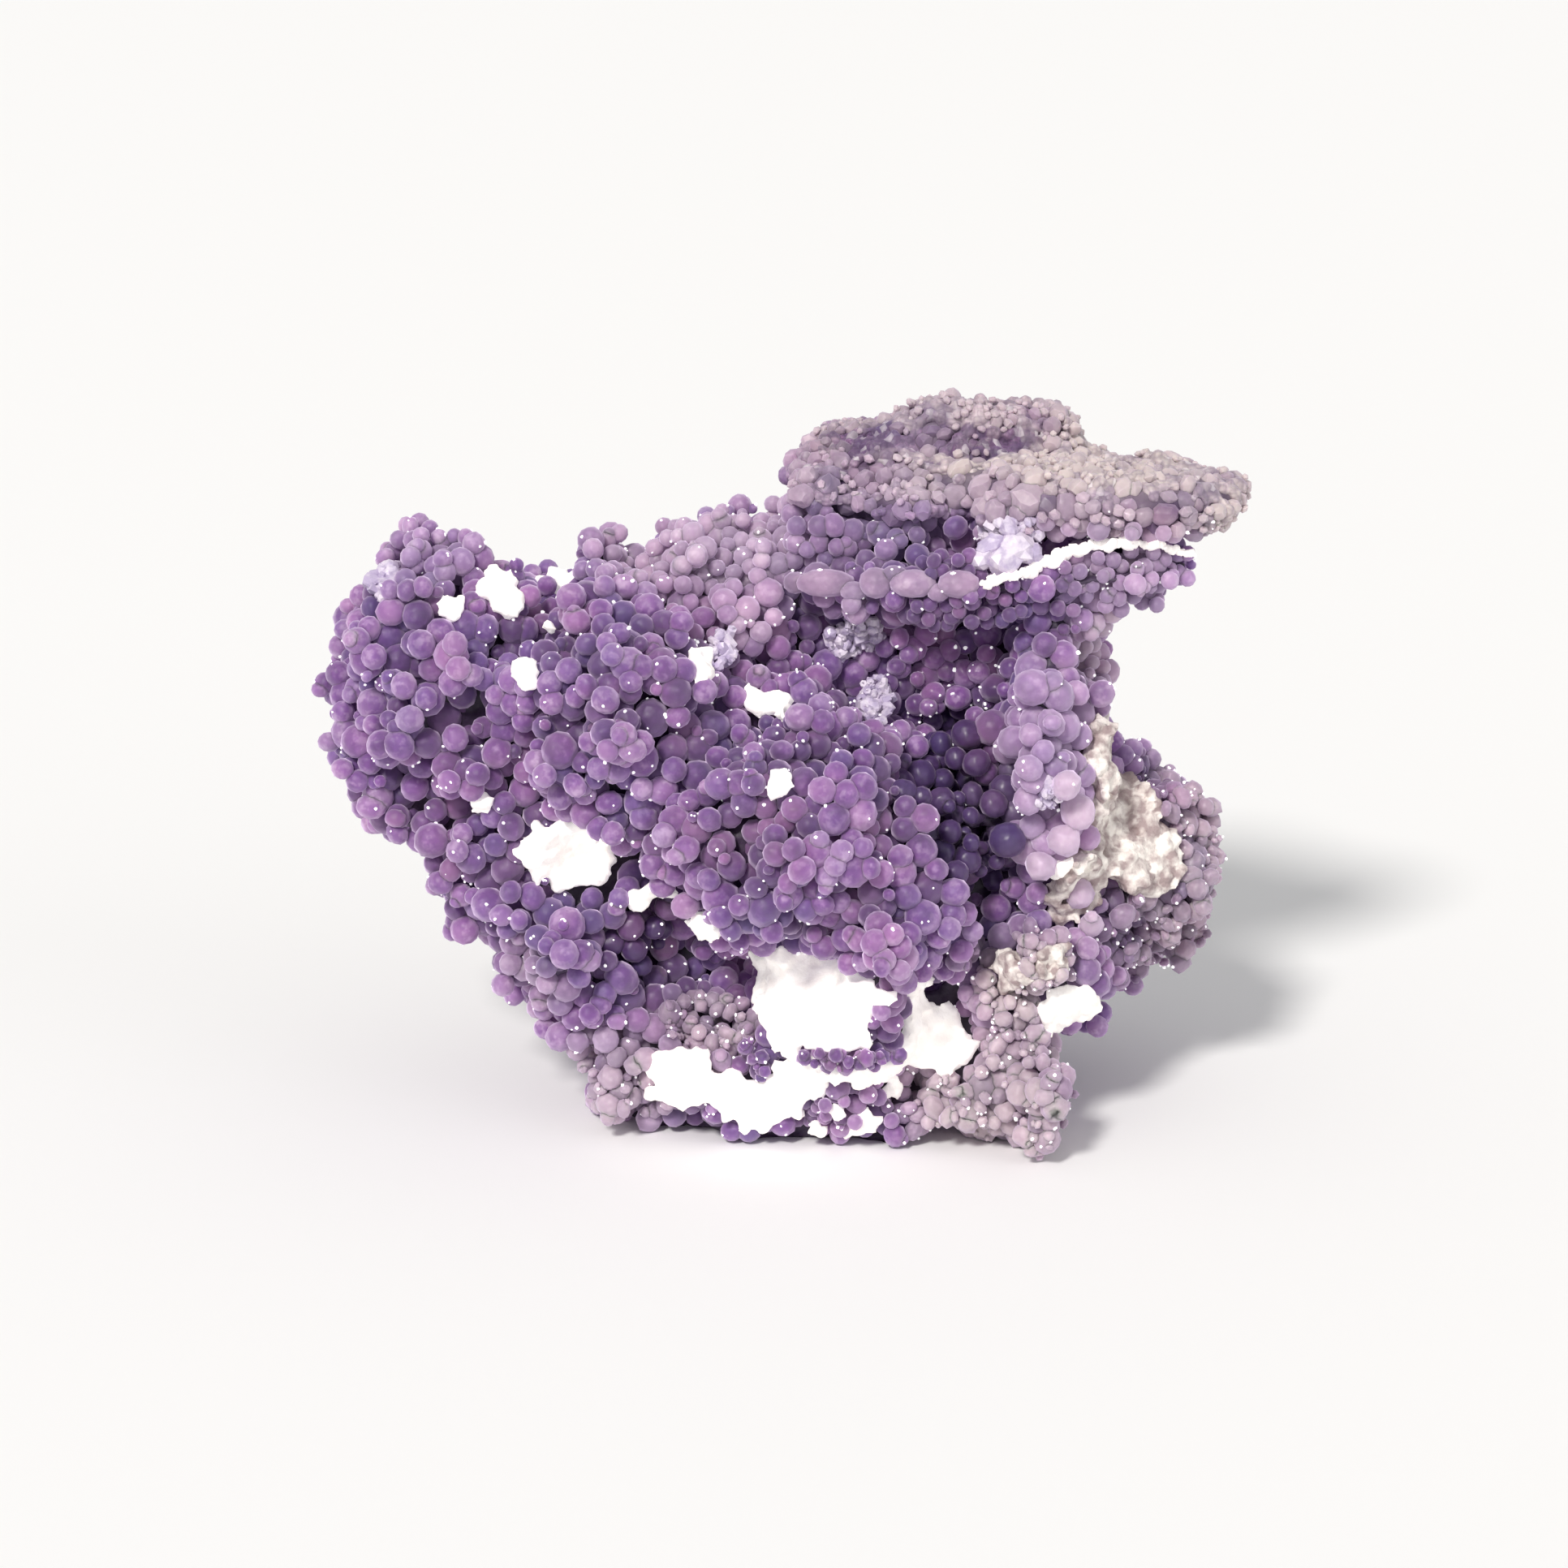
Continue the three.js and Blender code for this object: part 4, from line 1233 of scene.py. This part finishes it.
def stone_material(name, sheen=1.0, sheen_rough=0.55, glow=0.0, depth=2.2, bump=0.25, behind=False,
                   sugar=False, cool=0.0):
    """Chalcedony: the shared colour recipe under a frosty, slightly translucent surface.

    depth is how far light scatters inside, in mm, and bump the strength of the fine grain. behind darkens it
    as painted shade, for the stone behind the beads, and less so under the crust of the ledges. sugar breaks
    it up into fine grains, with painted shade between them and painted glints on some, and cool turns it by
    that share towards an indigo, as painted shade for the beads that lie in shade."""
    mat, n, shader = new_material(name)
    recipe = n.add("ShaderNodeGroup", node_tree=COLOUR)
    for fact in FACTS:
        value = n.add("ShaderNodeAttribute", attribute_name=fact).outputs["Fac"]
        n.feed(recipe.inputs[fact.capitalize()], value)
    colour = recipe.outputs["Color"]
    # Painted shade: the stone behind the beads is turned nearly black, less under the ledges' crust
    if behind:
        crust = n.add("ShaderNodeAttribute", attribute_name="crust").outputs["Fac"]
        colour = n.mix(n.ramp(crust, 0.0, 1.0, 0.85, 0.5), colour, CORE_SHADE)
    # Painted shade: a cool indigo over the beads that lie in shade
    if cool:
        colour = n.mix(cool, colour, SHADE_INDIGO)
    where = n.add("ShaderNodeTexCoord").outputs["Object"]
    dents = n.noise(where, 520.0, 1.0)
    uneven = n.bump(dents, 0.6, 0.8)
    if sugar:
        grains = n.add("ShaderNodeGroup", {"Color": colour}, node_tree=SUGAR)
        colour = grains.outputs["Color"]
        uneven = n.bump(grains.outputs["Height"], 0.7, 0.4, over=uneven)
    bumpy = n.bump(recipe.outputs["Grain"], bump, 0.06, over=uneven)
    n.feed(shader.inputs["Base Color"], colour)
    n.feed(shader.inputs["Roughness"], recipe.outputs["Roughness"])
    n.feed(shader.inputs["Normal"], bumpy)
    if glow:
        n.feed(shader.inputs["Emission Color"], colour)
        set_sockets(shader, {"Emission Strength": glow})
    set_sockets(shader, {
        "Sheen Weight": sheen, "Sheen Roughness": sheen_rough, "Sheen Tint": PALE_BLOOM,
        "Subsurface Weight": 1.0, "Subsurface Radius": (1.0, 0.85, 1.05), "Subsurface Scale": depth * MM})
    return mat


violet = stone_material("violet_chalcedony", glow=0.07)
granular = stone_material("granular_chalcedony", sheen=0.4, depth=0.6)
with_crust = stone_material("crusted_chalcedony", sheen=0.7, sheen_rough=0.5, depth=1.4, bump=0.6)
sugary = stone_material("sugary_chalcedony", sheen=0.3, depth=0.5, sugar=True)
# Beads in painted shade: darker by their place, and turned a share towards a cool indigo
glossy = stone_material("dark_chalcedony", sheen=0.4, sheen_rough=0.4, depth=1.5, cool=0.35)
# The core, painted nearly black as the shade in the gaps between the beads
host_stone = stone_material("host_stone", sheen=0.1, depth=0.5, bump=0.6, behind=True)
print("materials so far:", [mat.name for mat in (violet, granular, with_crust, sugary, glossy, host_stone)])

# %% [markdown]
# ### Chalk, matrix, druse and painted glints
#
# Chalk is so white that light bounces about inside its own shadows. A path tracer stops after a few bounces
# and leaves them grey, so the chalk gets a small glow instead, as painted light. Matrix and druse take the
# same recipe of two tones and a powdery grain, without the glow. The points on the beads are painted glints:
# white, sharp in their shine and a little bright of themselves.

# %% Dry materials and painted glints
def dry_material(name, colour, shade, rough, scale, bump, glow=0.0):
    """Two tones of one colour in blots, scale of them to a metre, under a powdery grain."""
    mat, n, shader = new_material(name)
    where = n.add("ShaderNodeTexCoord").outputs["Object"]
    blot = n.noise(where, scale, 5.0)
    tint = n.add("ShaderNodeAttribute", attribute_name="tint").outputs["Fac"]
    share = n.ramp(n.calc("ADD", blot, n.ramp(tint, 0, 1, -0.15, 0.15)), 0.35, 0.65)
    powder = n.noise(where, 2600.0, 4.0)
    bumpy = n.bump(powder, bump, 0.2)
    n.feed(shader.inputs["Base Color"], n.mix(share, colour, shade))
    n.feed(shader.inputs["Normal"], bumpy)
    set_sockets(shader, {"Roughness": rough, "Emission Color": colour, "Emission Strength": glow})
    return mat


def painted_glint_material(name):
    """A painted glint: a tiny point, white and a little bright of itself."""
    mat, _, shader = new_material(name)
    # White, and a glow of its own: the glint is painted
    set_sockets(shader, {"Base Color": WHITE, "Roughness": 0.1})
    set_sockets(shader, {"Emission Color": WHITE, "Emission Strength": 0.45})
    return mat


druse = dry_material("druse_crystal", linear(228, 218, 232), linear(186, 172, 202), 0.25, 900.0, 0.1)
chalk = dry_material("chalk", linear(253, 250, 246), linear(244, 238, 232), 0.9, 500.0, 0.5, glow=0.3)
matrix = dry_material("cream_matrix", linear(252, 245, 238), linear(168, 150, 150), 0.85, 600.0, 0.8)
# Painted glints for the points on the beads
painted_glint = painted_glint_material("painted_glint_point")
print("and", [mat.name for mat in (druse, chalk, matrix, painted_glint)])

# %% Each piece gets its material
DRESS = {
    "core_stone": host_stone, "ledge_grains": sugary, "crusted_beads": with_crust, "ledge_granules": granular,
    "beads_deep": glossy, "white_chalk": chalk, "white_edge": chalk, "cream_matrix": matrix,
    "pale_druse": druse, "painted_glint_points": painted_glint,
}
for name, obj in pieces.items():
    obj.data.materials.clear()
    obj.data.materials.append(DRESS.get(name, violet))
print({name: obj.data.materials[0].name for name, obj in pieces.items()})

# %% [markdown]
# ## What each piece belongs to
#
# The specimen is one body, so every piece rides its root. Together they take the place of the one CAD solid.

for obj in pieces.values():
    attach(obj, "root")
    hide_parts(NODE)
print("pieces declared:", len(pieces))

# %% [markdown]
# ## Camera, floor and light
#
# The stone stands on a plain pale floor, so wide that its edge lies out of the picture. A small floor would
# need a wall behind it. The camera has the photo's viewing angle: a little above level, from a long lens.

# %% The floor
FLOOR_WIDTH = 12.0
bpy.ops.object.select_all(action="DESELECT")
bpy.ops.mesh.primitive_plane_add(size=FLOOR_WIDTH, location=(0, 0, 0))
floor = bpy.context.object
floor.name = "floor"
paper, _, paper_shader = new_material("paper")
set_sockets(paper_shader, {"Base Color": (0.93, 0.93, 0.93, 1), "Roughness": 0.9})
floor.data.materials.append(paper)
print("floor:", FLOOR_WIDTH, "m wide")

# %% The camera
AIM = Vector((-3.4, 0.0, 41.1)) * MM
TILT = math.radians(16)
CAMERA_AWAY = 0.537
lens = bpy.data.cameras.new("camera")
lens.lens = 100
lens.sensor_width = 36
camera = bpy.data.objects.new("camera", lens)
bpy.context.scene.collection.objects.link(camera)
camera.location = AIM - Vector((0, math.cos(TILT), -math.sin(TILT))) * CAMERA_AWAY
camera.rotation_euler = (math.pi / 2 - TILT, 0, 0)
bpy.context.scene.camera = camera
print("camera at", [round(v, 3) for v in camera.location])

# %% [markdown]
# Sun lamps light the floor evenly however far away they stand, and a wide one has soft shadows. A strong
# warm key comes from the upper left, a weak cool fill from the right, and the sky lights the rest.

# %% The lamps and the sky
def lamp(name, direction, width, strength, colour):
    """A soft lamp that shines from this direction. width is how wide it looks, in degrees."""
    data = bpy.data.lights.new(name, "SUN")
    data.angle = math.radians(width)
    data.energy = strength
    data.color = colour
    obj = bpy.data.objects.new(name, data)
    bpy.context.scene.collection.objects.link(obj)
    away = Vector(direction).normalized()
    obj.location = AIM + away * 0.5
    obj.rotation_euler = away.to_track_quat("Z", "Y").to_euler()
    return obj


key = lamp("key", (-0.3, -0.74, 0.66), 10, 2.6, (1.0, 0.97, 0.93))
fill = lamp("fill", (0.8, -0.6, 0.35), 40, 0.35, (0.95, 0.97, 1.0))
world = bpy.data.worlds.new("studio")
world.use_nodes = True
set_sockets(world.node_tree.nodes["Background"], {"Color": WHITE, "Strength": 0.5})
bpy.context.scene.world = world
bpy.context.scene.view_settings.view_transform = "Standard"
print("lamps:", key.name, fill.name)
